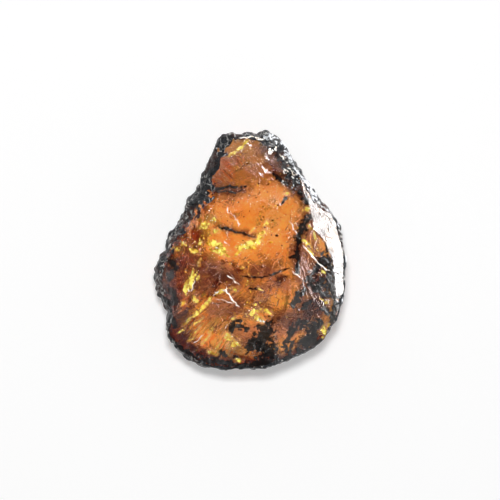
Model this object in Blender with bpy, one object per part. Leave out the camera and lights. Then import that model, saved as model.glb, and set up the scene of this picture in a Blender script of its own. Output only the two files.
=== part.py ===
"""Raw amber nugget: one pear-shaped solid, lying on its flat back with its broken window facing up.

The stone is star-shaped about its heart, so every point of its skin is found by looking outwards
from there to the nearest of the surfaces that bound it: the weathered wall, and the scars, which
are the hollows, domes and planes that breaking and grinding have left. Metres, +Z up, origin under
the middle of the stone where it rests.
"""

import math

import bmesh
import bpy
import numpy as np
from mathutils import Vector, noise

MM = 0.001

# Driving dimensions, in millimetres.
THICKNESS = 20.3
HEART = np.array([0.0, -2.0, 9.0])
GIRTH_HEIGHT = 8.0  # the level at which the stone is widest
ROOF_REACH = 17.0  # how far the wall would close above the girth
FLOOR_REACH = 10.5  # and below it
LEAST_FULLNESS = 1.95  # at the upper left; 2 is an ellipse, more is squarer
MOST_FULLNESS = 4.2  # at the lower right
FULLEST_TURN = math.radians(-20)
DOME_RADIUS = 60.0  # of the window, before it is chipped
LEDGE_SLOPE = 2.5
MISSED = 1000.0  # stands for the distance of a surface that a way doesn't meet
CUBE_CUTS = 27  # cuts along each edge of the cube that becomes the skin

# The widest outline, seen from above, as points (x, y) on a smooth closed curve.
OUTLINE = [
    (-2.0, 26.6), (-5.4, 27.0), (-7.6, 25.2), (-8.6, 22.6), (-10.6, 18.0), (-13.2, 13.8),
    (-15.4, 9.4), (-17.9, 5.6), (-20.0, 1.6), (-21.7, -2.8), (-22.0, -6.4), (-21.2, -10.2),
    (-19.4, -13.6), (-19.1, -17.2), (-18.2, -21.0), (-15.0, -24.9), (-8.6, -26.8), (-1.6, -27.3),
    (4.6, -26.5), (10.4, -24.2), (15.8, -21.2), (19.0, -17.0), (20.8, -12.2), (21.7, -6.0),
    (21.4, 0.0), (20.7, 4.2), (19.0, 7.8), (15.6, 11.7), (12.4, 16.5), (9.2, 21.6),
    (7.4, 24.9), (4.2, 27.2), (1.0, 27.2),
]  # fmt: skip
OUTLINE_STEPS = 12  # points read from the curve between two outline points

# The weathered rind: broad lumps with small knobs on them. It is roughest at the upper left.
LUMP_SIZE = 5.0
LUMP_HEIGHT = 1.5
KNOB_SIZE = 2.6
KNOB_HEIGHT = 1.2
ROUGHEST_TURN = math.radians(140)
SMOOTHEST_SHARE = 0.2

# Rings of small flakes struck off the window: the first and last compass angle and the step, all in
# degrees, how far out they lie as a share of the outline, their radius, and their tilt.
FLAKE_RINGS = [
    ((70, 258, 10), (0.84, 0.93), (7, 13), (16, 34)),
    ((84, 262, 17), (0.64, 0.76), (14, 40), (9, 20)),
    ((100, 300, 25), (0.40, 0.54), (26, 70), (6, 13)),
]
FLAKE_DEPTH = (0.5, 1.3)
FLAKE_SEED = 7


def leaning(tilt, lean):
    """The unit vector tilted by tilt degrees from straight up, towards the compass angle lean, where
    0 is +X and 90 is +Y."""
    slope, turn = math.radians(tilt), math.radians(lean)
    flat = math.sin(slope)
    return np.array([flat * math.cos(turn), flat * math.sin(turn), math.cos(slope)])


def scar(at, lean, tilt, hollow=0.0, weathered=False):
    """A bounding surface through the point at, whose outward normal there is leaning(tilt, lean).
    hollow is its radius: above 0 it is scooped out, below 0 it bulges, and 0 is flat. A weathered
    one carries the rind's lumps."""
    at, normal = np.array(at) - HEART, leaning(tilt, lean)
    return {"at": at, "normal": normal, "hollow": hollow, "ledge": None, "weathered": weathered}


def chip(x, y, depth, hollow, lean=0.0, tilt=0.0, ledge=None):
    """A scar in the window's dome, whose skin is depth under the dome at (x, y). It is tilted by
    tilt more than the dome is there, towards lean. A ledge (turn, reach) ends it in a step, reach
    beyond (x, y) in the compass direction turn."""
    middle = np.array([0.0, 0.0, THICKNESS - DOME_RADIUS])
    upright = np.array([x, y, math.sqrt(DOME_RADIUS**2 - x**2 - y**2)]) / DOME_RADIUS
    normal = upright + leaning(tilt, lean) - leaning(0, 0)
    at = middle + upright * (DOME_RADIUS - depth)
    return {
        "at": at - HEART,
        "normal": normal / np.linalg.norm(normal),
        "hollow": hollow,
        "ledge": ledge,
        "weathered": False,
    }


SCARS = {
    "rest": scar((0.0, 0.0, 0.0), 0, 180),
    "dome": scar((0.0, 0.0, THICKNESS), 0, 0, -DOME_RADIUS),
    # broad scars of the window, from the narrow end down
    "narrow_end": chip(-1.0, 20.0, 0.8, 60, 90, 4),
    "shoulder": chip(-2.5, 8.5, 0.9, 30, 100, 3, ledge=(200, 7.0)),
    "main_bowl": chip(5.5, 1.0, 1.5, 34, 40, 1),
    "left_shelf": chip(-12.0, 2.5, 1.0, 22, 140, 7, ledge=(290, 5.0)),
    "left_bay": chip(-14.5, -7.0, 1.2, 20, 170, 7, ledge=(300, 6.5)),
    "low_middle": chip(-1.0, -9.0, 1.2, 26, 240, 7),
    "streak_slope": chip(-11.0, -18.5, 1.3, 60, 222, 9, ledge=(60, 7.5)),
    "lower_right": chip(10.5, -17.0, 1.1, 120, 300, 3),
    "right_facet": chip(17.0, -7.0, 0.9, 0, 350, 4),
    # chips within them
    "chip_sliver": chip(2.8, 16.6, 0.9, 18, 335, 10),
    "chip_gold_a": chip(-6.6, 1.2, 1.5, 19, 200, 15, ledge=(310, 3.5)),
    "chip_gold_b": chip(-0.6, 1.8, 1.4, 17, 120, 14),
    "chip_brown": chip(-6.8, -5.2, 1.4, 26, 20, 11),
    "chip_peak": chip(-5.6, -12.6, 1.5, 20, 265, 14),
    "chip_spark": chip(2.6, -15.4, 1.2, 16, 70, 13),
    "chip_corner": chip(13.4, -3.0, 1.0, 30, 20, 9),
    # the ground rim, in four lengths
    "rim_end": scar((18.9, -5.8, 15.9), 352, 36),
    "rim_low": scar((17.4, 0.6, 16.7), 8, 33),
    "rim_middle": scar((14.4, 9.8, 17.35), 22, 33),
    "rim_high": scar((10.7, 16.4, 17.2), 32, 38),
    # weathered slopes round the narrow end
    "crown_left": scar((-5.6, 23.4, 14.6), 122, 50, weathered=True),
    "crown_right": scar((3.4, 24.6, 15.2), 74, 48, weathered=True),
    "brow_left": scar((-14.6, 5.4, 16.4), 150, 47, weathered=True),
    "brow_low_left": scar((-18.4, -9.0, 15.4), 186, 50, weathered=True),
    # the side under the girth
    "side_right": scar((20.9, -4.0, 5.0), 355, 110, 60),
    "side_low_right": scar((16.7, -18.6, 5.0), 315, 113, 42),
    "side_foot": scar((-1.0, -26.5, 4.6), 268, 111, 55),
    "side_low_left": scar((-16.0, -22.0, 5.0), 226, 112, 26),
    "side_upper_right": scar((14.0, 13.7, 4.6), 28, 109, 50),
    "side_scoop": scar((20.6, -13.2, 9.5), 334, 88, 11),
    # the back
    "back_top": scar((2.0, 19.0, 2.4), 85, 158, 60),
    "back_left": scar((-14.0, -4.0, 2.2), 185, 156, 40),
    "back_right": scar((14.5, -9.0, 2.0), 340, 155, 45),
}


def closed_curve(points, steps):
    """Points on the closed Catmull-Rom curve through points, steps to each stretch."""
    through = np.array(points, float)
    before, after, beyond = (np.roll(through, shift, axis=0) for shift in (1, -1, -2))
    stretches = []
    for s in np.linspace(0.0, 1.0, steps, endpoint=False):
        stretches.append(
            0.5
            * (
                2 * through
                + (after - before) * s
                + (2 * before - 5 * through + 4 * after - beyond) * s**2
                + (3 * through - before - 3 * after + beyond) * s**3
            )
        )
    return np.stack(stretches, axis=1).reshape(-1, 2)


def outline_radius(turns):
    """The outline's distance from the heart at each compass angle, in radians."""
    curve = closed_curve(OUTLINE, OUTLINE_STEPS) - HEART[:2]
    angle = np.arctan2(curve[:, 1], curve[:, 0])
    order = np.argsort(angle)
    return np.interp(turns, angle[order], np.hypot(*curve[order].T), period=2 * math.pi)


def flakes():
    rng = np.random.default_rng(FLAKE_SEED)
    struck = {}
    for turns, share, hollow, tilt in FLAKE_RINGS:
        for turn in range(*turns):
            way = math.radians(turn)
            reach = outline_radius(way) * rng.uniform(*share)
            x = HEART[0] + reach * math.cos(way)
            y = HEART[1] + reach * math.sin(way)
            lean = turn + rng.uniform(-70, 70)
            depth = rng.uniform(*FLAKE_DEPTH)
            struck[f"flake_{len(struck):02d}"] = chip(
                x, y, depth, rng.uniform(*hollow), lean, rng.uniform(*tilt)
            )
    return struck


def wall_distance(ways):
    """How far the weathered wall is from the heart along each way."""
    flat = np.hypot(ways[:, 0], ways[:, 1])
    turns = np.arctan2(ways[:, 1], ways[:, 0])
    reach = outline_radius(turns)
    squareness = (1 + np.cos(turns - FULLEST_TURN)) / 2
    fullness = LEAST_FULLNESS + (MOST_FULLNESS - LEAST_FULLNESS) * squareness
    near, far = np.zeros(len(ways)), np.full(len(ways), 60.0)
    for _ in range(30):
        middle = (near + far) / 2
        height = HEART[2] - GIRTH_HEIGHT + middle * ways[:, 2]
        closing = np.where(height > 0, height / ROOF_REACH, -height / FLOOR_REACH)
        inside = (middle * flat / reach) ** fullness + closing**fullness < 1
        near, far = np.where(inside, middle, near), np.where(inside, far, middle)
    return near + rind_height(ways, near)


def rind_height(ways, distance):
    """How far the rind's lumps and knobs stand out of a weathered surface at these distances."""
    turns = np.arctan2(ways[:, 1], ways[:, 0])
    roughness = SMOOTHEST_SHARE + (1 - SMOOTHEST_SHARE) * (1 + np.cos(turns - ROUGHEST_TURN)) / 2
    heights = []
    for point in map(Vector, ways * distance[:, None]):
        lumps = noise.noise(point / LUMP_SIZE) * LUMP_HEIGHT
        knobs = (0.5 - noise.voronoi(point / KNOB_SIZE)[0][0]) * KNOB_HEIGHT
        heights.append(lumps + knobs)
    return roughness * np.array(heights)


def scar_distance(ways, at, normal, hollow, ledge, weathered):
    """How far a scar's surface is from the heart along each way, or far away where it is missed."""
    if hollow:
        middle = at + normal * hollow
        towards = ways @ middle
        under_root = towards**2 - middle @ middle + hollow**2
        root = np.sqrt(np.maximum(under_root, 0.0))
        distance = towards - root if hollow > 0 else towards + root
        met = (under_root > 0) & (distance > 0)
    else:
        along = ways @ normal
        distance = (at @ normal) / np.maximum(along, 1e-6)
        met = along > 1e-6
    if ledge:
        turn, reach = math.radians(ledge[0]), ledge[1]
        beyond = (ways * distance[:, None] - at)[:, :2] @ [math.cos(turn), math.sin(turn)]
        distance = distance + LEDGE_SLOPE * np.maximum(beyond - reach, 0.0)
    if weathered:
        distance = distance + rind_height(ways, distance)
    return np.where(met, distance, MISSED)


def all_distances(ways):
    """One row for the wall and one for each scar: the distances from the heart along each way."""
    scars = SCARS | flakes()
    return np.stack([wall_distance(ways)] + [scar_distance(ways, **s) for s in scars.values()])


def snap_to_edges(ways, ends):
    """Moves the ways that lie nearest to a sharp edge between two surfaces onto it, so that the mesh
    has an edge there. Returns the ways and a mask of those that moved."""
    distances = all_distances(ways)
    nearest = distances.argmin(axis=0)
    here, there = ends.T
    crossing = nearest[here] != nearest[there]
    here, there = here[crossing], there[crossing]
    mine, theirs = nearest[here], nearest[there]
    short = distances[theirs, here] - distances[mine, here]
    over = distances[mine, there] - distances[theirs, there]
    share = short / np.maximum(short + over, 1e-9)
    moves = [(s, a, b) if s < 0.5 else (1 - s, b, a) for s, a, b in zip(share, here, there)]
    on_edge = np.zeros(len(ways), bool)
    snapped = ways.copy()
    for step, vertex, neighbour in sorted(moves):
        if not on_edge[vertex]:
            snapped[vertex] += (ways[neighbour] - ways[vertex]) * step
            on_edge[vertex] = True
    return snapped / np.linalg.norm(snapped, axis=1)[:, None], on_edge


def rounded_cube():
    """A cube cut into a fine grid, and the way in which each of its vertices looks from the heart."""
    cube = bmesh.new()
    bmesh.ops.create_cube(cube, size=2.0)
    bmesh.ops.subdivide_edges(cube, edges=cube.edges, cuts=CUBE_CUTS, use_grid_fill=True)
    cube.verts.ensure_lookup_table()
    corners = np.array([vertex.co for vertex in cube.verts])
    spread = np.tan(corners * math.pi / 4)  # evens out the grid once it is on a sphere
    sphere = spread / np.linalg.norm(spread, axis=1)[:, None]
    half_size = np.array([*np.abs(OUTLINE).max(axis=0), THICKNESS / 2])
    stretched = sphere * half_size
    return cube, stretched / np.linalg.norm(stretched, axis=1)[:, None]


def amber_skin():
    """The nugget's skin, in metres, centred over the origin and resting on z = 0."""
    skin, ways = rounded_cube()
    ends = np.array([[vertex.index for vertex in edge.verts] for edge in skin.edges])
    ways, on_edge = snap_to_edges(ways, ends)
    points = HEART + ways * all_distances(ways).min(axis=0)[:, None]
    points[:, :2] -= (points[:, :2].max(axis=0) + points[:, :2].min(axis=0)) / 2
    for vertex, point in zip(skin.verts, points):
        vertex.co = point * MM
    for face in list(skin.faces):
        corners = [vertex for vertex in face.verts if on_edge[vertex.index]]
        opposite = len(corners) == 2 and not any(corners[1] in e.verts for e in corners[0].link_edges)
        if opposite:
            bmesh.utils.face_split(face, *corners)
    bmesh.ops.triangulate(skin, faces=[face for face in skin.faces if len(face.verts) > 3])
    bmesh.ops.recalc_face_normals(skin, faces=skin.faces)
    return skin


def amber_resin():
    material = bpy.data.materials.new("amber_resin")
    material.use_nodes = True
    shader = material.node_tree.nodes["Principled BSDF"]
    shader.inputs["Base Color"].default_value = (0.72, 0.26, 0.04, 1.0)
    shader.inputs["Roughness"].default_value = 0.15
    shader.inputs["Metallic"].default_value = 0.0
    shader.inputs["IOR"].default_value = 1.54
    return material


def raw_amber():
    mesh = bpy.data.meshes.new("raw_amber")
    skin = amber_skin()
    skin.to_mesh(mesh)
    skin.free()
    mesh.materials.append(amber_resin())
    nugget = bpy.data.objects.new("raw_amber", mesh)
    collection = bpy.data.collections.new("raw_amber_piece")
    bpy.context.scene.collection.children.link(collection)
    collection.objects.link(nugget)
    mesh.shade_smooth()
    mesh.set_sharp_from_angle(angle=math.radians(14))
    return nugget


for leftover in list(bpy.data.objects):
    bpy.data.objects.remove(leftover)
raw_amber()
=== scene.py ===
"""Raw amber nugget, dressed: a clear cognac body with broken faces, a ground rim and a weathered rind,
and the fractures, veins and specks that lie inside it. Metres, +Z up. It lies on its flat back."""

import math

import bmesh
import bpy
import numpy as np
from mathutils import Matrix, Vector, noise
from mathutils.bvhtree import BVHTree


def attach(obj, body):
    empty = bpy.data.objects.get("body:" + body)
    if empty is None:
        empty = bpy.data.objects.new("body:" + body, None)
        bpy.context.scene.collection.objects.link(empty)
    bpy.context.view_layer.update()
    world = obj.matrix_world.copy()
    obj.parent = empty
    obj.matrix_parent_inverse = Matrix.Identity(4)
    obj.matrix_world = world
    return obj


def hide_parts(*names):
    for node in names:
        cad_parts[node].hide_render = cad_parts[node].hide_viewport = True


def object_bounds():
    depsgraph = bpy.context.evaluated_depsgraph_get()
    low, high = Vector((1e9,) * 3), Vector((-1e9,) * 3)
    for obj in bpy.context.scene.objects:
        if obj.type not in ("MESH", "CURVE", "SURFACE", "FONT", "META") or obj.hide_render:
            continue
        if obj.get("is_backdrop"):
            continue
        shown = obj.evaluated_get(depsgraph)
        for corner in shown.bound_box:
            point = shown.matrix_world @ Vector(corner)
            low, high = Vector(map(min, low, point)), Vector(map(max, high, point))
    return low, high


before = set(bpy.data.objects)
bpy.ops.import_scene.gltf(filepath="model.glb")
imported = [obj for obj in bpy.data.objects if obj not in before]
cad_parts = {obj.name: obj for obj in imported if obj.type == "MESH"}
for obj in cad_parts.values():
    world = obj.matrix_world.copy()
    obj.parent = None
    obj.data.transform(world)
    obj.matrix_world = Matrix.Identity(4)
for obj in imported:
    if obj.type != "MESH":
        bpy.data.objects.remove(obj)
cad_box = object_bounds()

MM = 0.001
noise.seed_set(5)  # without a seed, the vector noise takes one from the clock

# ---------------------------------------------------------------- the form, in millimetres

THICKNESS = 20.3
HEART = np.array([0.0, -2.0, 9.0])  # every way out from here meets the skin once
GIRTH_HEIGHT = 8.0  # where the wall is widest
ROOF_REACH = 17.0  # how far above the girth the wall would close
FLOOR_REACH = 10.5  # and how far below it
LEAST_FULLNESS = 1.95  # 2 makes the wall's profile an ellipse, and more makes it squarer
MOST_FULLNESS = 4.2
FULLEST_TURN = math.radians(-20)
WALL_LIMIT = 60.0  # further from the heart than any of the wall
HALVINGS = 30  # of the stretch that the wall is looked for in
DOME_RADIUS = 60.0
LEDGE_SLOPE = 2.5
MISSED = 1000.0  # the distance of a surface that isn't met
GRAZING = 1e-6  # a way has to lean towards a flat scar by more than this to meet it
SKIN_CUTS = 127

# From above.
OUTLINE = [
    (-2.0, 26.6), (-5.4, 27.0), (-7.6, 25.2), (-8.6, 22.6), (-10.6, 18.0), (-13.2, 13.8),
    (-15.4, 9.4), (-17.9, 5.6), (-20.0, 1.6), (-21.7, -2.8), (-22.0, -6.4), (-21.2, -10.2),
    (-19.4, -13.6), (-19.1, -17.2), (-18.2, -21.0), (-15.0, -24.9), (-8.6, -26.8), (-1.6, -27.3),
    (4.6, -26.5), (10.4, -24.2), (15.8, -21.2), (19.0, -17.0), (20.8, -12.2), (21.7, -6.0),
    (21.4, 0.0), (20.7, 4.2), (19.0, 7.8), (15.6, 11.7), (12.4, 16.5), (9.2, 21.6),
    (7.4, 24.9), (4.2, 27.2), (1.0, 27.2),
]  # fmt: skip
OUTLINE_STEPS = 12

LUMP_SIZE = 5.0
LUMP_HEIGHT = 1.5
KNOB_SIZE = 2.6
KNOB_HEIGHT = 1.2
ROUGHEST_TURN = math.radians(140)
SMOOTHEST_SHARE = 0.2
LUMPS_REACH = 3.5  # the most that lumps can stand out

# Rings of small scars round the window: compass angles, share of the way to the outline, radius of
# the hollow, tilt.
FLAKE_RINGS = [
    ((70, 258, 10), (0.84, 0.93), (7, 13), (16, 34)),
    ((84, 262, 17), (0.64, 0.76), (14, 40), (9, 20)),
    ((100, 300, 25), (0.40, 0.54), (26, 70), (6, 13)),
]
FLAKE_DEPTH = (0.5, 1.3)
FLAKE_STRAY = 70  # how far a scar's lean strays from straight outwards, in degrees
FLAKE_SEED = 7


def leaning(tilt, lean):
    """The way that is tilt degrees off upright, towards the compass angle lean."""
    slope, turn = math.radians(tilt), math.radians(lean)
    flat = math.sin(slope)
    return np.array([flat * math.cos(turn), flat * math.sin(turn), math.cos(slope)])


def scar(at, lean, tilt, hollow=0.0, weathered=False):
    """A surface through a point, which faces the way of lean and tilt. Hollow is its radius: 0 is flat,
    and less than 0 bulges."""
    at, normal = np.array(at) - HEART, leaning(tilt, lean)
    return {"at": at, "normal": normal, "hollow": hollow, "ledge": None, "weathered": weathered}


def chip(x, y, depth, hollow, lean=0.0, tilt=0.0, ledge=None):
    """A scar that is depth under the dome and tilted from it. A ledge (turn, reach) ends it with a step
    at that reach from its middle."""
    middle = np.array([0.0, 0.0, THICKNESS - DOME_RADIUS])
    upright = np.array([x, y, math.sqrt(DOME_RADIUS**2 - x**2 - y**2)]) / DOME_RADIUS
    normal = upright + leaning(tilt, lean) - leaning(0, 0)
    at = middle + upright * (DOME_RADIUS - depth)
    return {
        "at": at - HEART,
        "normal": normal / np.linalg.norm(normal),
        "hollow": hollow,
        "ledge": ledge,
        "weathered": False,
    }


# Surfaces that cut the wall: scar(place, lean, tilt, hollow) and chip(x, y, depth, hollow, lean, tilt).
SCARS = {
    "rest": scar((0.0, 0.0, 0.0), 0, 180),
    "dome": scar((0.0, 0.0, THICKNESS), 0, 0, -DOME_RADIUS),
    # broad scars of the window, from the narrow end down
    "narrow_end": chip(-1.0, 20.0, 0.8, 60, 90, 4),
    "shoulder": chip(-2.5, 8.5, 0.9, 30, 100, 3, ledge=(200, 7.0)),
    "main_bowl": chip(5.5, 1.0, 1.5, 34, 40, 1),
    "left_shelf": chip(-12.0, 2.5, 1.0, 22, 140, 7, ledge=(290, 5.0)),
    "left_bay": chip(-14.5, -7.0, 1.2, 20, 170, 7, ledge=(300, 6.5)),
    "low_middle": chip(-1.0, -9.0, 1.2, 26, 240, 7),
    "streak_slope": chip(-11.0, -18.5, 1.3, 60, 222, 9, ledge=(60, 7.5)),
    "lower_right": chip(10.5, -17.0, 1.1, 120, 300, 3),
    "right_facet": chip(17.0, -7.0, 0.9, 0, 350, 4),
    # chips within them
    "chip_sliver": chip(2.8, 16.6, 0.9, 18, 335, 10),
    "chip_gold_a": chip(-6.6, 1.2, 1.5, 19, 200, 15, ledge=(310, 3.5)),
    "chip_gold_b": chip(-0.6, 1.8, 1.4, 17, 120, 14),
    "chip_brown": chip(-6.8, -5.2, 1.4, 26, 20, 11),
    "chip_peak": chip(-5.6, -12.6, 1.5, 20, 265, 14),
    "chip_spark": chip(2.6, -15.4, 1.2, 16, 70, 13),
    "chip_corner": chip(13.4, -3.0, 1.0, 30, 20, 9),
    # the ground rim, in four lengths
    "rim_end": scar((18.9, -5.8, 15.9), 352, 36),
    "rim_low": scar((17.4, 0.6, 16.7), 8, 33),
    "rim_middle": scar((14.4, 9.8, 17.35), 22, 33),
    "rim_high": scar((10.7, 16.4, 17.2), 32, 38),
    # weathered slopes round the narrow end
    "crown_left": scar((-5.6, 23.4, 14.6), 122, 50, weathered=True),
    "crown_right": scar((3.4, 24.6, 15.2), 74, 48, weathered=True),
    "brow_left": scar((-14.6, 5.4, 16.4), 150, 47, weathered=True),
    "brow_low_left": scar((-18.4, -9.0, 15.4), 186, 50, weathered=True),
    # the side under the girth
    "side_right": scar((20.9, -4.0, 5.0), 355, 110, 60),
    "side_low_right": scar((16.7, -18.6, 5.0), 315, 113, 42),
    "side_foot": scar((-1.0, -26.5, 4.6), 268, 111, 55),
    "side_low_left": scar((-16.0, -22.0, 5.0), 226, 112, 26),
    "side_upper_right": scar((14.0, 13.7, 4.6), 28, 109, 50),
    "side_scoop": scar((20.6, -13.2, 9.5), 334, 88, 11),
    # the back
    "back_top": scar((2.0, 19.0, 2.4), 85, 158, 60),
    "back_left": scar((-14.0, -4.0, 2.2), 185, 156, 40),
    "back_right": scar((14.5, -9.0, 2.0), 340, 155, 45),
}


def closed_curve(points, steps):
    """Points on the closed Catmull-Rom curve through points, steps to each stretch."""
    through = np.array(points, float)
    before, after, beyond = (np.roll(through, shift, axis=0) for shift in (1, -1, -2))
    stretches = []
    for s in np.linspace(0.0, 1.0, steps, endpoint=False):
        stretches.append(
            0.5
            * (
                2 * through
                + (after - before) * s
                + (2 * before - 5 * through + 4 * after - beyond) * s**2
                + (3 * through - before - 3 * after + beyond) * s**3
            )
        )
    return np.stack(stretches, axis=1).reshape(-1, 2)


def outline_radius(turns):
    """The outline's distance from the heart at each compass angle, in radians."""
    curve = closed_curve(OUTLINE, OUTLINE_STEPS) - HEART[:2]
    angle = np.arctan2(curve[:, 1], curve[:, 0])
    order = np.argsort(angle)
    return np.interp(turns, angle[order], np.hypot(*curve[order].T), period=2 * math.pi)


def ring_scars():
    """The small scars of the rings, by name."""
    rng = np.random.default_rng(FLAKE_SEED)
    struck = {}
    for turns, share, hollow, tilt in FLAKE_RINGS:
        for turn in range(*turns):
            way = math.radians(turn)
            reach = outline_radius(way) * rng.uniform(*share)
            x = HEART[0] + reach * math.cos(way)
            y = HEART[1] + reach * math.sin(way)
            lean = turn + rng.uniform(-FLAKE_STRAY, FLAKE_STRAY)
            depth = rng.uniform(*FLAKE_DEPTH)
            struck[f"flake_{len(struck):02d}"] = chip(
                x, y, depth, rng.uniform(*hollow), lean, rng.uniform(*tilt)
            )
    return struck


def wall_distance(ways):
    """How far the weathered wall is from the heart along each way."""
    flat = np.hypot(ways[:, 0], ways[:, 1])
    turns = np.arctan2(ways[:, 1], ways[:, 0])
    reach = outline_radius(turns)
    squareness = (1 + np.cos(turns - FULLEST_TURN)) / 2
    fullness = LEAST_FULLNESS + (MOST_FULLNESS - LEAST_FULLNESS) * squareness
    near, far = np.zeros(len(ways)), np.full(len(ways), WALL_LIMIT)
    for _ in range(HALVINGS):
        middle = (near + far) / 2
        height = HEART[2] - GIRTH_HEIGHT + middle * ways[:, 2]
        closing = np.where(height > 0, height / ROOF_REACH, -height / FLOOR_REACH)
        inside = (middle * flat / reach) ** fullness + closing**fullness < 1
        near, far = np.where(inside, middle, near), np.where(inside, far, middle)
    return near


def rind_height(ways, distance):
    """How far the lumps and knobs of the rind stand out along each way."""
    turns = np.arctan2(ways[:, 1], ways[:, 0])
    roughness = SMOOTHEST_SHARE + (1 - SMOOTHEST_SHARE) * (1 + np.cos(turns - ROUGHEST_TURN)) / 2
    heights = []
    for point in map(Vector, ways * distance[:, None]):
        lumps = noise.noise(point / LUMP_SIZE) * LUMP_HEIGHT
        knobs = (0.5 - noise.voronoi(point / KNOB_SIZE)[0][0]) * KNOB_HEIGHT
        heights.append(lumps + knobs)
    return roughness * np.array(heights)


def scar_distance(ways, at, normal, hollow, ledge, **_):
    """How far a scar is from the heart along each way."""
    if hollow:
        middle = at + normal * hollow
        towards = ways @ middle
        under_root = towards**2 - middle @ middle + hollow**2
        root = np.sqrt(np.maximum(under_root, 0.0))
        distance = towards - root if hollow > 0 else towards + root
        met = (under_root > 0) & (distance > 0)
    else:
        along = ways @ normal
        distance = (at @ normal) / np.maximum(along, GRAZING)
        met = along > GRAZING
    if ledge:
        turn, reach = math.radians(ledge[0]), ledge[1]
        beyond = (ways * distance[:, None] - at)[:, :2] @ [math.cos(turn), math.sin(turn)]
        distance = distance + LEDGE_SLOPE * np.maximum(beyond - reach, 0.0)
    return np.where(met, distance, MISSED)


SURFACES = SCARS | ring_scars()
NAMES = ["wall", *SURFACES]
WEATHERED = np.array([True] + [surface["weathered"] for surface in SURFACES.values()])


def all_distances(ways):
    """One row for the wall and one for each scar: the distances from the heart along each way."""
    rows = np.stack([wall_distance(ways)] + [scar_distance(ways, **s) for s in SURFACES.values()])
    lowest = rows.min(axis=0)
    for row in np.flatnonzero(WEATHERED):
        near = rows[row] < lowest + LUMPS_REACH
        rows[row, near] += rind_height(ways[near], rows[row, near])
    return rows


def snap_to_edges(ways, ends):
    """Moves the ways that lie nearest to a sharp edge between two surfaces onto it. Returns the ways and
    a mask of those that moved."""
    distances = all_distances(ways)
    nearest = distances.argmin(axis=0)
    here, there = ends.T
    crossing = nearest[here] != nearest[there]
    here, there = here[crossing], there[crossing]
    mine, theirs = nearest[here], nearest[there]
    short = distances[theirs, here] - distances[mine, here]
    over = distances[mine, there] - distances[theirs, there]
    share = short / np.maximum(short + over, 1e-9)
    moves = [(s, a, b) if s < 0.5 else (1 - s, b, a) for s, a, b in zip(share, here, there)]
    on_edge = np.zeros(len(ways), bool)
    snapped = ways.copy()
    for step, vertex, neighbour in sorted(moves):
        if not on_edge[vertex]:
            snapped[vertex] += (ways[neighbour] - ways[vertex]) * step
            on_edge[vertex] = True
    return snapped / np.linalg.norm(snapped, axis=1)[:, None], on_edge


def rounded_cube():
    """A cube with finely cut sides, and the way from the heart for each of its corners. The ways are
    spread evenly over a shape as long, wide and thick as the stone."""
    cube = bmesh.new()
    bmesh.ops.create_cube(cube, size=2.0)
    bmesh.ops.subdivide_edges(cube, edges=cube.edges, cuts=SKIN_CUTS, use_grid_fill=True)
    cube.verts.ensure_lookup_table()
    corners = np.array([vertex.co for vertex in cube.verts])
    spread = np.tan(corners * math.pi / 4)
    sphere = spread / np.linalg.norm(spread, axis=1)[:, None]
    half_size = np.array([*np.abs(OUTLINE).max(axis=0), THICKNESS / 2])
    stretched = sphere * half_size
    return cube, stretched / np.linalg.norm(stretched, axis=1)[:, None]


# ---------------------------------------------------------------- marks on and in the window

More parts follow.
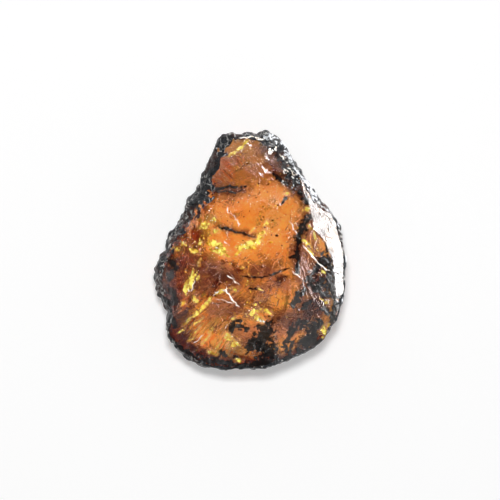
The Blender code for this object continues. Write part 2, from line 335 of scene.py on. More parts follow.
# Each mark is (half width, [points]), seen from above, in millimetres.
DARK = [
    (0.45, [(9.6, 16.6), (11.3, 13.8), (13.0, 10.8), (14.0, 8.8)]),
    (0.32, [(-9.0, 14.3), (-7.0, 14.0), (-4.7, 14.6), (-3.0, 14.2)]),
    (0.25, [(-7.6, 13.4), (-5.2, 13.5), (-3.4, 13.1)]), (0.22, [(-2.2, 14.4), (-0.8, 14.6)]),
    (0.22, [(-2.6, 13.5), (-1.2, 13.9)]),
    (0.3, [(-7.2, 5.0), (-5.2, 4.9), (-3.4, 4.1), (-1.6, 3.9), (-0.1, 3.2), (1.5, 2.7)]),
    (1.0, [(14.2, 8.4), (13.0, 6.6), (12.1, 4.7), (11.2, 2.4)]),
    (0.55, [(11.2, 2.4), (10.7, 0.1), (11.0, -2.6), (10.7, -5.1)]), (0.3, [(10.7, -1.2), (9.1, -1.7)]),
    (0.35, [(8.7, 12.8), (8.1, 11.9)]), (0.35, [(7.9, 11.5), (7.3, 10.7)]),
    (0.2, [(-1.7, -6.1), (2.7, -6.3), (5.2, -5.6), (7.5, -4.7), (9.1, -4.0)]),
    (0.3, [(-0.1, -8.8), (1.8, -8.8), (3.1, -9.7)]),
    (0.7, [(9.8, 16.2), (11.0, 13.9), (12.6, 11.8), (13.9, 10.2), (14.4, 8.9)]),
    (0.3, [(14.9, 7.9), (16.0, 5.2), (17.2, 2.0), (17.8, -1.0)]),
    (1.2, [(7.0, 21.6), (8.4, 19.2), (10.0, 16.6), (11.6, 14.2)]),
    (0.8, [(3.2, 25.0), (5.6, 23.6), (7.0, 21.6)]), (0.5, [(5.4, 17.4), (6.8, 16.2), (8.4, 15.0)]),
    (0.5, [(-3.7, -15.9), (-4.2, -17.8), (-4.7, -19.6)]),
    (0.5, [(-3.5, -15.9), (-2.4, -16.4)]),
    (0.7, [(-2.4, -17.3), (-1.0, -18.0)]),
    (1.6, [(16.5, -2.6), (17.8, -2.6), (18.5, -5.6), (18.5, -9.0)]),
    (0.9, [(14.4, -5.6), (13.7, -7.4), (15.3, -9.0), (16.5, -6.8)]),
    (0.8, [(12.3, -9.0), (11.0, -10.7), (9.8, -12.7)]),
    (0.8, [(16.5, -2.6), (15.1, -4.5), (13.5, -6.5)]),
    (0.7, [(12.3, -13.2), (13.5, -12.0)]),
    (2.1, [(3.6, -18.2), (2.7, -21.7), (4.5, -23.3), (3.6, -25.1)]),
    (1.1, [(-0.1, -22.8), (1.3, -20.5)]),
    (2.0, [(15.1, -17.8), (14.2, -19.6), (12.8, -21.4)]),
    (0.9, [(16.0, -16.4), (15.5, -20.5)]),
    (0.6, [(11.4, -16.4), (10.5, -17.8), (9.3, -19.4), (8.7, -21.0)]),
    (0.4, [(9.8, -17.1), (8.9, -18.9)]),
    (0.5, [(8.0, -21.4), (8.4, -23.3)]),
    (0.4, [(9.8, -21.0), (9.3, -22.8), (9.1, -24.2)]),
    (0.6, [(12.8, -16.2), (11.6, -17.8)]),
    (0.8, [(19.0, -10.9), (19.9, -12.7), (19.0, -14.6)]),
    (0.7, [(16.5, -10.0), (18.3, -10.4), (20.1, -10.7)]),
    (0.7, [(16.7, -13.6), (18.3, -14.1), (19.2, -15.9), (19.0, -18.2)]),
    (0.9, [(-18.0, -2.6), (-17.3, -4.0), (-18.2, -6.1)]),
    (1.0, [(-18.4, -9.0), (-17.1, -11.1), (-18.4, -12.9)]),
    (0.7, [(-18.0, -15.5), (-17.1, -17.5)]),
    (0.8, [(-18.0, -21.2), (-15.7, -23.1), (-12.5, -24.7), (-8.8, -25.6), (-3.3, -26.3),
           (2.7, -26.5), (8.0, -25.3), (12.6, -23.5), (16.5, -20.5)]),
    (0.6, [(-8.3, -24.7), (-6.5, -23.3), (-5.6, -24.4)]),
    (0.5, [(-3.3, -24.7), (-1.0, -26.0)]),
]
BROWN = [
    (2.1, [(-8.8, -4.9), (-6.5, -7.2), (-4.2, -6.8)]),
    (1.8, [(-7.9, -13.2), (-5.1, -13.2), (-2.8, -12.3)]),
    (2.4, [(-14.8, -3.0), (-11.5, -2.6), (-7.9, -3.0)]), (2.0, [(-13.5, -7.5), (-10.0, -8.5)]),
    (1.8, [(13.0, 6.5), (11.6, 2.0), (11.2, -3.0)]), (1.8, [(13.5, -1.0), (15.5, -4.5)]),
    (1.7, [(4.4, 23.1), (6.2, 20.8), (7.2, 18.0)]),
    (1.4, [(0.4, -2.6), (2.7, -4.5), (6.8, -4.0)]),
    (2.1, [(-0.1, -4.9), (2.7, -7.9), (1.3, -11.3)]),
    (1.6, [(-2.4, -10.4), (0.4, -11.8), (5.9, -12.7)]),
    (2.3, [(-16.1, -9.0), (-17.1, -11.3), (-16.6, -15.5)]),
    (1.6, [(11.4, -1.7), (12.3, -4.9), (11.4, -7.7)]),
    (1.8, [(11.4, -11.3), (13.7, -13.6), (15.5, -11.3)]),
    (1.8, [(6.8, -16.4), (10.5, -14.6), (13.2, -12.3)]),
    (1.4, [(-4.2, -18.2), (-2.4, -21.0), (-0.1, -19.1)]),
    (1.4, [(-5.8, 12.5), (-2.4, 12.1), (-4.2, 9.8)]),
    (1.6, [(-10.9, 5.2), (-12.5, 2.9), (-15.0, 1.3)]),
    (1.4, [(11.4, 12.8), (12.3, 10.2), (11.4, 8.4)]),
]
OLIVE = [
    (1.6, [(-11.5, 5.6), (-9.7, 6.1), (-8.3, 5.2)]),
    (1.8, [(-16.1, 0.1), (-13.8, 0.8), (-12.0, 0.1)]),
    (1.4, [(-19.4, -2.6), (-18.0, -1.2)]),
    (1.6, [(-5.6, -21.2), (-3.3, -22.4)]),
    (1.6, [(-10.2, -15.0), (-7.9, -15.5), (-5.1, -15.0)]),
    (1.1, [(10.0, -11.3), (11.9, -9.5)]),
    (1.4, [(-10.4, -3.5), (-8.3, -3.1)]),
    (1.1, [(-14.8, -14.1), (-12.5, -12.7)]),
    (0.9, [(5.0, 8.6), (4.1, 7.7), (3.6, 5.9)]),
]
STREAKS = [
    (5.5, [(-15.5, -15.5), (-11.5, -20.0), (-8.0, -22.5)]),
    (3.5, [(-16.0, -9.0), (-12.5, -13.0), (-7.0, -16.0)]),
    (2.2, [(-7.4, 14.8), (-5.2, 18.0), (-3.4, 20.5)]),
]
SMOKE = [
    (1.8, [(4.8, 23.0), (6.8, 20.5), (8.4, 17.5), (9.2, 15.5)]),
    (1.5, [(9.5, 16.0), (11.2, 13.2), (13.2, 10.4), (13.6, 8.0)]),
    (1.6, [(-18.5, -8.5), (-18.0, -13.0), (-17.0, -18.0), (-13.5, -22.5), (-8.0, -24.8), (0.0, -25.8),
           (8.0, -24.6), (13.5, -22.0)]),
    (1.3, [(-7.8, 13.8), (-4.2, 13.6), (-0.8, 13.6)]),
    (0.9, [(-7.5, 5.4), (-3.0, 4.4), (1.2, 3.2)]),
    (1.6, [(10.8, 0.5), (11.4, -4.0), (12.5, -8.0)]),
    (1.4, [(-8.8, -5.4), (-5.5, -6.6), (-2.8, -6.4)]),
    (1.6, [(6.0, -16.5), (10.0, -15.0), (13.5, -13.0)]),
]
DUSK = [
    (3.4, [(-2.0, -20.0), (4.0, -18.6), (9.0, -17.0), (13.5, -13.6)]),
    (2.6, [(-14.5, -2.4), (-8.5, -4.4), (-4.0, -6.6)]),
    (2.2, [(-8.0, -13.6), (-3.5, -12.4)]), (2.2, [(-12.5, -8.0), (-9.0, -8.0)]),
    (1.6, [(1.5, -4.6), (5.5, -5.8), (8.0, -8.0)]),
    (2.0, [(4.6, 22.5), (7.2, 18.8), (10.0, 14.5)]),
    (2.0, [(11.0, -1.0), (12.6, -5.0), (14.0, -9.0)]),
    (1.6, [(14.2, 8.0), (12.0, 3.4)]),
]
DARK_BELOW = [
    (1.5, [(14.0, -5.0), (15.5, -9.5), (12.0, -12.5)]),
    (1.6, [(2.0, -20.0), (4.5, -23.0)]),
    (1.8, [(14.5, -18.5), (11.5, -21.5)]),
    (1.6, [(-15.5, -3.0), (-14.5, -8.0), (-15.0, -13.5)]),
    (1.2, [(9.0, 15.0), (11.5, 10.5)]),
]
# Nests of golden scales: x, y, length, width, turn, depth, how many.
GOLD = [
    (-7.0, 0.4, 4.0, 1.8, -34, 0.3, 22), (-8.0, 1.2, 1.8, 1.2, 10, 0.3, 8),
    (-5.2, -1.2, 1.6, 0.8, -38, 0.5, 4), (0.2, 1.2, 5.4, 1.6, 18, 0.5, 16),
    (2.2, 2.6, 2.4, 1.0, 45, 0.4, 8), (-2.2, 0.4, 2.4, 0.9, -8, 0.6, 6),
    (2.8, 3.9, 2.2, 1.1, 40, 0.4, 7), (3.6, 6.0, 2.2, 0.7, 66, 0.4, 5),
    (0.6, 4.6, 2.2, 0.4, 42, 0.5, 3), (-13.9, -7.8, 6.2, 2.0, 64, 0.3, 10),
    (-12.8, -6.0, 2.0, 1.4, 50, 0.5, 5), (-12.6, -11.3, 2.6, 1.4, 80, 0.5, 8),
    (-10.6, -12.9, 6.4, 0.6, 41, 0.5, 16), (-12.3, -14.6, 4.4, 0.7, 38, 0.6, 9),
    (-9.4, -11.6, 3.6, 0.6, 44, 0.5, 6), (-6.8, -9.6, 3.0, 0.8, 15, 0.5, 6),
    (-3.4, -9.0, 1.6, 0.9, 10, 0.5, 4), (-1.6, -4.1, 1.6, 0.5, 6, 0.4, 3),
    (0.6, -14.2, 3.0, 1.2, 20, 0.5, 8), (3.8, -14.0, 3.2, 1.0, -20, 0.5, 7),
    (1.8, -15.6, 2.8, 1.4, -30, 0.4, 7), (-16.6, 0.2, 1.4, 1.2, -20, 1.1, 6),
    (-15.2, 1.6, 1.6, 0.7, -30, 1.1, 5), (-12.9, -0.1, 3.2, 1.2, -30, 0.4, 12),
    (-11.4, 1.6, 1.8, 1.2, 20, 0.8, 5), (-10.4, 5.6, 2.6, 1.4, 10, 0.6, 8),
    (-8.4, 6.8, 1.8, 0.9, 60, 0.6, 5), (-7.9, 4.4, 1.8, 0.9, 0, 0.6, 5),
    (-1.2, 24.4, 3.0, 0.8, 55, 0.3, 8), (-2.8, 22.9, 3.0, 0.7, 45, 0.3, 8),
    (-4.4, 21.8, 2.4, 0.6, 25, 0.3, 6), (-14.6, -16.6, 3.6, 0.3, 42, 0.6, 4),
    (-12.4, -18.6, 4.0, 0.3, 44, 0.7, 4), (-13.4, -20.4, 3.4, 0.25, 40, 0.8, 4),
    (-10.2, -20.6, 4.4, 0.3, 46, 0.8, 4), (-8.6, -18.2, 3.6, 0.25, 44, 0.7, 4),
    (-11.6, -16.2, 3.8, 0.3, 42, 0.6, 4), (-7.2, -21.8, 3.0, 0.25, 50, 0.3, 4),
    (-15.8, -18.6, 2.6, 0.25, 36, 0.3, 4), (13.0, 9.3, 1.5, 1.2, 0, 0.3, 4),
    (13.9, -0.6, 2.8, 0.8, -50, 0.4, 6), (12.8, 1.8, 3.6, 0.7, -62, 0.6, 7),
    (14.6, 3.4, 3.4, 0.6, -58, 0.6, 6), (13.8, 5.0, 2.4, 0.5, -60, 0.6, 4),
    (16.6, -5.0, 1.4, 0.7, -70, 0.3, 4), (17.6, -11.9, 2.2, 1.0, -10, 0.3, 5),
    (-17.8, 0.4, 1.2, 0.8, 0, 0.4, 3), (-5.0, -19.9, 3.2, 1.4, -40, 0.6, 8),
    (-3.6, -21.6, 2.6, 1.6, 10, 0.7, 6), (8.5, 12.9, 1.0, 0.9, 0, 0.3, 2),
    (-9.6, -11.9, 1.8, 0.6, 50, 0.5, 4), (2.4, -9.0, 2.0, 0.4, -40, 0.5, 3),
    (-3.8, -15.6, 1.6, 0.7, 30, 0.6, 3), (17.0, -18.5, 3.4, 1.4, 55, 0.5, 8),
    (-8.6, -23.6, 2.4, 1.0, -15, 0.4, 5), (-2.6, -25.4, 2.2, 0.7, -5, 0.4, 5),
    (-6.6, 0.0, 3.8, 2.6, -32, 0.25, 9),
]  # fmt: skip
# Loose golden sparkles: x, y, how far they stray, how many.
SPARKLES = [
    (-3.0, 16.5, 3.0, 30), (6.0, 12.0, 3.2, 45), (-11.0, 4.0, 3.2, 55), (-12.5, -3.0, 3.4, 45),
    (-10.0, -17.0, 4.0, 60), (-1.0, -13.0, 4.0, 45), (1.5, 3.5, 3.0, 35), (13.5, 1.5, 2.2, 30),
    (12.0, -16.0, 4.0, 20), (-2.0, -4.0, 4.0, 25),
]

NEST_REACH = 0.36  # the mark under a nest reaches this share of its length both ways
NEST_MARGIN = 0.15  # and this far past its sides


def nest_mark(x, y, length, width, turn, *_):
    """The mark that covers a nest of golden scales."""
    along = Vector((math.cos(math.radians(turn)), math.sin(math.radians(turn)))) * length * NEST_REACH
    middle = Vector((x, y))
    return 0.5 * width + NEST_MARGIN, [tuple(middle - along), tuple(middle), tuple(middle + along)]


def marked(places, marks):
    """How deep each place (x, y) is in the marks: 1 on a mark's middle line, 0 on its edge, never
    less than -1."""
    deepest = np.full(len(places), -1.0)
    for half_width, line in marks:
        for start, end in zip(line, line[1:]):
            start, along = np.array(start), np.array(end) - start
            share = np.clip((places - start) @ along / (along @ along), 0, 1)
            away = np.hypot(*(places - start - share[:, None] * along).T)
            deepest = np.maximum(deepest, 1 - away / half_width)
    return deepest


# The attribute that each set of marks goes into, and the side of the stone that it is on.
PAINTED = [
    ("dark", DARK, "window"),
    ("smoke", SMOKE, "window"),
    ("dusk", DUSK, "window"),
    ("streaks", STREAKS, "window"),
    ("brown", BROWN, "back"),
    ("olive", OLIVE, "back"),
    ("dark_below", DARK_BELOW, "back"),
    # The clear mark lightens the resin over the golden nests: partly so the gold shows less tinted,
    # partly as a painted glow round them.
    ("clear", [nest_mark(*nest) for nest in GOLD], "window"),
]

# ---------------------------------------------------------------- the body

# Each relief is (size, height), in millimetres.
RIND_GRAIN = [(3.0, 0.45), (1.5, 0.26), (0.8, 0.16)]
CRACKLE_SIZE = 3.4  # of the plates that the rind has cracked into
CRACKLE_WIDTH = 0.10
CRACKLE_DEPTH = 0.45
FLAT_WAVES = (3.0, 0.03)  # on the ground rim and under the stone
SWELLS = [(4.5, 0.20), (1.9, 0.08)]
RIPPLE_SPACING = 0.26  # between the rings on a broken face, over two pi
RIPPLE_HEIGHT = 0.03
RIPPLE_WANDER = (3.0, 5.0)
RIPPLE_PATCHES = (5.0, 1.0)
STRUCK_AT = (9.0, 4.0)  # the middle of the big bowl, which the hackles run out from
HACKLES_TO_RADIAN = 24.0
HACKLE_LENGTH = 9.0
HACKLE_HEIGHT = 0.14

RESIN, RIND, GROUND, WORN = range(4)
PATCH_SIZE = 2.1
SPECKLE_SIZE = 0.9
CREEP = (0.15, 0.75)  # how far the rind creeps over a broken edge, least and most
RIND_BAND = ((-16, -6, 0, 6, 12), (1.2, 1.6, 2.2, 2.8, 4.0))  # its width on the top, by y
RIND_FRAY = (0.7, 0.6, 0.4)  # the shares of that width that are steady, patchy and speckled
BROW_FROM = (3, 12)  # the brow beside the narrow end is past this x and y
BROW_BAND = (2.7, 2.4)  # the width of the rind there, and how much it varies
BRINK_BAND = (1.1, 1.6)  # the width that is rubbed pale there, and how much it varies
BRINK_OVER = 11.0  # the least height that is rubbed pale there
BESIDE_RIM = (-14, 26)  # the wall is rubbed pale from one y to the other
WORN_FROM = 5  # past this x
WORN_OVER = 12.2  # and over this height
RIM_END = -10.4  # the rim is polished down to this y
RIM_FRAY = 0.4
# Painted shade: the resin is darkened next to the rind, where the rind's shade would fall.
RIND_SHADE_MARGIN = ((-22, -14, -4, 6, 13), (0.4, 0.8, 2.2, 1.4, 0.0))  # darkest within this, by y
RIND_SHADE_REACH = 3.8  # how far past that, and how deep under the rind, the resin is still darker


def relief(at, size, height):
    """How far a wavy relief moves a point."""
    return noise.noise(at / size) * height


def fine_relief(points, nearest):
    """How far the grain of the rind and the ripples of the broken faces move each point, outwards."""
    heights = np.zeros(len(points))
    surfaces = list(SURFACES.values())
    for index, (point, row) in enumerate(zip(points, nearest)):
        at = Vector(point)
        if WEATHERED[row]:
            near, next_near = noise.voronoi(at / CRACKLE_SIZE)[0][:2]
            groove = math.exp((near - next_near) / CRACKLE_WIDTH) * CRACKLE_DEPTH
            heights[index] = sum(relief(at, *grain) for grain in RIND_GRAIN) - groove
            continue
        if NAMES[row].startswith(("rim", "rest")):
            heights[index] = relief(at, *FLAT_WAVES)
            continue
        away = (at - Vector(surfaces[row - 1]["at"] + HEART)).length
        swell = sum(relief(at, *waves) for waves in SWELLS)
        ripple = math.sin(away / RIPPLE_SPACING + relief(at, *RIPPLE_WANDER)) * RIPPLE_HEIGHT
        out = math.atan2(STRUCK_AT[1] - at.y, STRUCK_AT[0] - at.x) * HACKLES_TO_RADIAN
        along = (at.xy - Vector(STRUCK_AT)).length / HACKLE_LENGTH
        hackle = noise.noise(Vector((out, along, 0.0))) * HACKLE_HEIGHT
        heights[index] = swell + ripple * (0.5 + relief(at, *RIPPLE_PATCHES)) + hackle
    return heights


STONE = bpy.data.collections.new("stone")
TABLE = bpy.data.collections.new("table")


def add_mesh(name, form, materials):
    """Makes a form, in metres, a piece of the stone."""
    mesh = bpy.data.meshes.new(name)
    form.to_mesh(mesh)
    form.free()
    for material in materials:
        mesh.materials.append(material)
    mesh.shade_smooth()
    piece = bpy.data.objects.new(name, mesh)
    bpy.context.scene.collection.objects.link(piece)
    STONE.objects.link(piece)
    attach(piece, "root")
    return piece


def paint(piece, name, values):
    """Gives each point of a piece its value in an attribute."""
    piece.data.attributes.new(name, "FLOAT", "POINT").data.foreach_set("value", values)


def split_on_edges(skin, on_edge):
    """Cuts the skin into triangles. A square that a sharp edge runs across is cut along the edge."""
    for face in list(skin.faces):
        corners = [vertex for vertex in face.verts if on_edge[vertex.index]]
        opposite = len(corners) == 2 and not any(corners[1] in e.verts for e in corners[0].link_edges)
        if opposite:
            bmesh.utils.face_split(face, *corners)
    bmesh.ops.triangulate(skin, faces=[face for face in skin.faces if len(face.verts) > 3])
    bmesh.ops.recalc_face_normals(skin, faces=skin.faces)
    skin.faces.ensure_lookup_table()


def finish_of(middle, row, over_rind, inset):
    """The finish of a face on the surface of that row. Its middle is in metres. How far it lies over
    the weathered surfaces and within the outline is in millimetres."""
    patch = 0.5 + noise.noise(middle / (PATCH_SIZE * MM))
    speckle = noise.noise(middle / (SPECKLE_SIZE * MM))
    creep = CREEP[0] + (CREEP[1] - CREEP[0]) * patch
    steady, patchy, speckled = RIND_FRAY
    band = np.interp(middle.y / MM, *RIND_BAND) * (steady + patchy * patch + speckled * speckle)
    crusted = inset < band or middle.z < HEART[2] * MM or NAMES[row] == "crown_right"
    on_rim = NAMES[row].startswith("rim")
    on_brow = middle.x > BROW_FROM[0] * MM and middle.y > BROW_FROM[1] * MM and not on_rim
    worn_brink = inset < BRINK_BAND[0] + BRINK_BAND[1] * speckle and middle.z / MM > BRINK_OVER + speckle
    beside_rim = BESIDE_RIM[0] < middle.y / MM < BESIDE_RIM[1] and middle.x > WORN_FROM * MM
    worn_wall = NAMES[row] == "wall" and beside_rim and middle.z / MM > WORN_OVER + speckle
    if worn_wall or on_brow and worn_brink:
        return WORN
    brow_rind = on_brow and inset < BROW_BAND[0] + BROW_BAND[1] * speckle
    if (WEATHERED[row] or over_rind < creep) and crusted or brow_rind:
        return RIND
    return GROUND if on_rim and middle.y / MM > RIM_END + RIM_FRAY * speckle else RESIN


def nugget_body(materials):
    """The stone's skin. Returns it, and a tree of its faces to find the height of the window with."""
    skin, ways = rounded_cube()
    ends = np.array([[vertex.index for vertex in edge.verts] for edge in skin.edges])
    ways, on_edge = snap_to_edges(ways, ends)
    distances = all_distances(ways)
    nearest = distances.argmin(axis=0)
    points = HEART + ways * distances.min(axis=0)[:, None]
    points += ways * fine_relief(points, nearest)[:, None]
    turns = np.arctan2(ways[:, 1], ways[:, 0])
    inset = outline_radius(turns) - np.hypot(*(points - HEART)[:, :2].T)
    points[:, :2] -= (points[:, :2].max(axis=0) + points[:, :2].min(axis=0)) / 2
    points[:, 2] = np.maximum(points[:, 2], 0.0)
    for vertex, point in zip(skin.verts, points):
        vertex.co = point * MM
    split_on_edges(skin, on_edge)
    corners = np.array([[vertex.index for vertex in face.verts] for face in skin.faces])
    means = distances[:, corners].mean(axis=2)
    rows = means.argmin(axis=0)
    over_rind = means[WEATHERED].min(axis=0) - means.min(axis=0)
    insets = inset[corners].mean(axis=1)
    for face, *measures in zip(skin.faces, rows, over_rind, insets):
        face.material_index = finish_of(face.calc_center_median(), *measures)
    faces = BVHTree.FromBMesh(skin)
    body = add_mesh("amber_body", skin, materials)
    above = points[:, 2] > HEART[2]
    for name, marks, side in PAINTED:
        paint(body, name, np.where(above == (side == "window"), marked(points[:, :2], marks), -1.0))
    # Painted shade: resin that lies close under the rind and near the outline is darkened.
    gap = distances[WEATHERED].min(axis=0) - distances.min(axis=0)
    nearness = np.clip(1 - gap / RIND_SHADE_REACH, 0, 1)
    beyond = inset - np.interp(points[:, 1], *RIND_SHADE_MARGIN)
    nearness *= np.clip(1 - beyond / RIND_SHADE_REACH, 0, 1)
    paint(body, "rind_shade", nearness)
    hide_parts("raw_amber")
    return body, faces


# ---------------------------------------------------------------- what lies inside


def window_height(faces, x, y):
    """How high the window is over a place, in millimetres, or None beside the stone."""
    met = faces.ray_cast(Vector((x * MM, y * MM, 1.0)), Vector((0, 0, -1)))[0]
    return met.z / MM if met and met.z > HEART[2] * MM else None


def drape(form, faces, depth):
    """Lays a form along the underside of the window, depth below it, and turns millimetres to metres."""
    height = HEART[2]
    for vertex in form.verts:
        height = window_height(faces, vertex.co.x, vertex.co.y) or height
        vertex.co.z += height - depth
        vertex.co *= MM


def tip(form, lean, tilt):
    """Tips a form to face the compass angle lean. Both angles are in radians."""
    axis = (-math.sin(lean), math.cos(lean), 0)
    bmesh.ops.rotate(form, verts=form.verts, matrix=Matrix.Rotation(tilt, 3, axis))


def put_down(form, x, y, z):
    """Moves a form to its place, and turns millimetres to metres."""
    bmesh.ops.translate(form, verts=form.verts, vec=(x, y, z))
    bmesh.ops.scale(form, verts=form.verts, vec=(MM, MM, MM))


def join(whole, part):
    """Adds part to whole, and frees it."""
    carrier = bpy.data.meshes.new("carrier")
    part.to_mesh(carrier)
    part.free()
    whole.from_mesh(carrier)
    bpy.data.meshes.remove(carrier)


LOBES = 1.3  # how often the rim of a flake swings in and out
TEETH = (4, 0.6)  # how often its teeth do, and how far beside the lobes
FLAKE_BEND = (1.1, 0.09)


def flake(rng, x, y, length, width, turn, ragged, cuts, thick):
    """A ragged, curved scale lying flat, as a closed shell, in millimetres."""
    form = bmesh.new()
    bmesh.ops.create_grid(form, x_segments=cuts[0], y_segments=cuts[1], size=1.0)
    seed = Vector(rng.uniform(-50, 50, 3))
    for vertex in form.verts:
        u, v, _ = vertex.co
        across, along = u * math.sqrt(1 - v * v / 2), v * math.sqrt(1 - u * u / 2)
        way = Vector((across, along, 0)).normalized()
        rim = noise.noise(way * LOBES + seed) + TEETH[1] * noise.noise(way * TEETH[0] + seed)
        reach = 1 + ragged * rim
        vertex.co = Vector((across * reach * length / 2, along * reach * width / 2, 0))
        vertex.co.z = noise.noise(vertex.co / FLAKE_BEND[0] + seed) * FLAKE_BEND[1]
    bmesh.ops.solidify(form, geom=form.faces, thickness=thick)
    bmesh.ops.recalc_face_normals(form, faces=form.faces)
    bmesh.ops.rotate(form, verts=form.verts, matrix=Matrix.Rotation(math.radians(turn), 3, "Z"))
    bmesh.ops.translate(form, verts=form.verts, vec=(x, y, 0))
    return form


def strewn(rng, nest, largest, others, stray):
    """Each flake of a nest (x, y, length, width, turn, how many), the large one in the middle first:
    whether it is that one, its place and its share of the nest's size."""
    x, y, length, width, turn, count = nest
    along = Matrix.Rotation(math.radians(turn), 2)
    for index in range(count):
        share = largest if index == 0 else rng.uniform(*others)
        astray = Vector(rng.normal(0, stray, 2)) * (index > 0)
        spot = along @ Vector((astray.x * length, astray.y * width)) + Vector((x, y))
        yield index == 0, spot, share


SPANGLE_SHARES = (0.68, (0.08, 0.34), 0.38)  # of its nest: the large one, the others, their stray
SPANGLE_WIDENING = (0.9, 1.6)
SPANGLE_LEAST = (0.25, 0.16)  # length and width
SPANGLE_TURN = 18  # how much the turn varies in a nest
SPANGLE_FACINGS = (10, 95, 118, 178)  # each scale faces one of these compass angles
SPANGLE_STRAY = 10  # or nearly
SPANGLE_TILT = (18, 4)  # how far it is tipped, and how much that varies
SPANGLE_DEPTHS = (0.0, 0.4)
LARGE_RAGGED, LARGE_CUTS = 0.4, (14, 10)
SMALL_RAGGED, SMALL_CUTS = 0.7, (4, 4)
SPANGLE_THICK = 0.05
SPARKLE_SIZES = (0.12, 0.42)
SPARKLE_WIDTH = 0.6  # to a length of 1
SPARKLE_RAGGED, SPARKLE_CUTS = 0.6, (3, 3)
SPARKLE_THICK = 0.04
SPARKLE_DEPTHS = (0.1, 0.5)


def golden_scales(faces, material):
    """Each nest is one large ragged scale with smaller ones strewn round it. Every scale faces one of
    a few ways, so that it glints or not as a whole. Loose sparkles lie between the nests."""
    rng = np.random.default_rng(seed=11)
    scales = bmesh.new()
    for x, y, length, width, turn, depth, count in GOLD:
        nest = x, y, length, width, turn, count
        for large, spot, share in strewn(rng, nest, *SPANGLE_SHARES):
            height = window_height(faces, *spot)
            if height is None:
                continue
            wide = width * share * rng.uniform(*SPANGLE_WIDENING)
            size = max(length * share, SPANGLE_LEAST[0]), max(wide, SPANGLE_LEAST[1])
            ragged, cuts = (LARGE_RAGGED, LARGE_CUTS) if large else (SMALL_RAGGED, SMALL_CUTS)
            turned = turn + rng.normal(0, SPANGLE_TURN)
            scale = flake(rng, 0, 0, *size, turned, ragged, cuts, SPANGLE_THICK)
            lean = math.radians(rng.choice(SPANGLE_FACINGS) + rng.normal(0, SPANGLE_STRAY))
            tilt = math.radians(rng.normal(*SPANGLE_TILT))
            tip(scale, lean, tilt)
            down = depth + max(size) * abs(math.sin(tilt)) / 2 + rng.uniform(*SPANGLE_DEPTHS)
            put_down(scale, *spot, height - down)
            join(scales, scale)
    for x, y, stray, count in SPARKLES:
        for _ in range(count):
            spot = rng.normal((x, y), stray)
            if window_height(faces, *spot) is None:
                continue
            size = rng.uniform(*SPARKLE_SIZES)
            shape = size, size * SPARKLE_WIDTH, rng.uniform(0, 180), SPARKLE_RAGGED, SPARKLE_CUTS
            sparkle = flake(rng, *spot, *shape, SPARKLE_THICK)
            drape(sparkle, faces, rng.uniform(*SPARKLE_DEPTHS))
            join(scales, sparkle)
    add_mesh("golden_scales", scales, [material])


# Painted glints: nests of white flakes that stand on the window's skin where it would catch the light:
# x, y, length, width, turn, how many.
GLINT_NESTS = [
    (0.1, 24.0, 1.6, 1.1, -40, 6), (3.2, 18.6, 3.0, 0.8, -42, 8), (2.4, 17.4, 1.8, 0.5, -48, 4),
    (8.1, 18.4, 1.8, 1.0, -50, 6), (4.6, 22.4, 1.9, 1.5, 50, 12), (5.8, 23.2, 1.2, 0.9, 20, 5),
    (7.6, 15.1, 1.2, 0.6, -50, 4), (10.0, 14.8, 0.9, 0.4, 60, 3), (2.2, -15.9, 2.0, 1.0, -30, 7),
    (3.2, -16.4, 1.4, 0.6, -20, 4), (-14.0, -9.3, 1.0, 0.6, 70, 3), (-7.6, 0.5, 1.0, 0.7, 0, 3),
    (7.6, 21.2, 2.6, 0.5, -58, 7), (9.0, 19.0, 2.8, 0.6, -58, 7), (10.2, 17.2, 2.2, 0.8, -60, 7),
]  # fmt: skip

GLINT_SHARES = (0.45, (0.12, 0.34), 0.32)  # of its nest: the large one, the others, their stray
GLINT_LEAST = (0.22, 0.14)  # length and width
GLINT_TURN = 20  # how much the turn varies in a nest
GLINT_RAGGED, GLINT_CUTS = 0.8, (8, 6)
GLINT_THICK = 0.05
GLINT_PROUD = 0.02  # how far the painted glint flakes stand out of the window


def painted_glint_flakes(faces, material):
    """Painted glints: each nest is one ragged white flake with smaller ones strewn round it."""
    rng = np.random.default_rng(seed=12)
    glint_flakes = bmesh.new()
    for nest in GLINT_NESTS:
        _, _, length, width, turn, _ = nest
        for _, spot, share in strewn(rng, nest, *GLINT_SHARES):
            size = max(length * share, GLINT_LEAST[0]), max(width * share, GLINT_LEAST[1])
            turned = turn + rng.normal(0, GLINT_TURN)
            glint_flake = flake(rng, *spot, *size, turned, GLINT_RAGGED, GLINT_CUTS, GLINT_THICK)
            drape(glint_flake, faces, -GLINT_PROUD)
            join(glint_flakes, glint_flake)
    add_mesh("painted_glint_flakes", glint_flakes, [material])


BLADE_SWELLS = 3.1  # to a stretch of its line
BLADE_DEPTHS = (0.75, 0.25)  # a blade's mean share of its depth, and its least
BLADE_TIP = 0.05  # the share that is left at its ends
WANDER = (2.3, 0.3)  # how often it swings to a stretch, and how far
SMALL_WANDER = (5.5, 0.16)


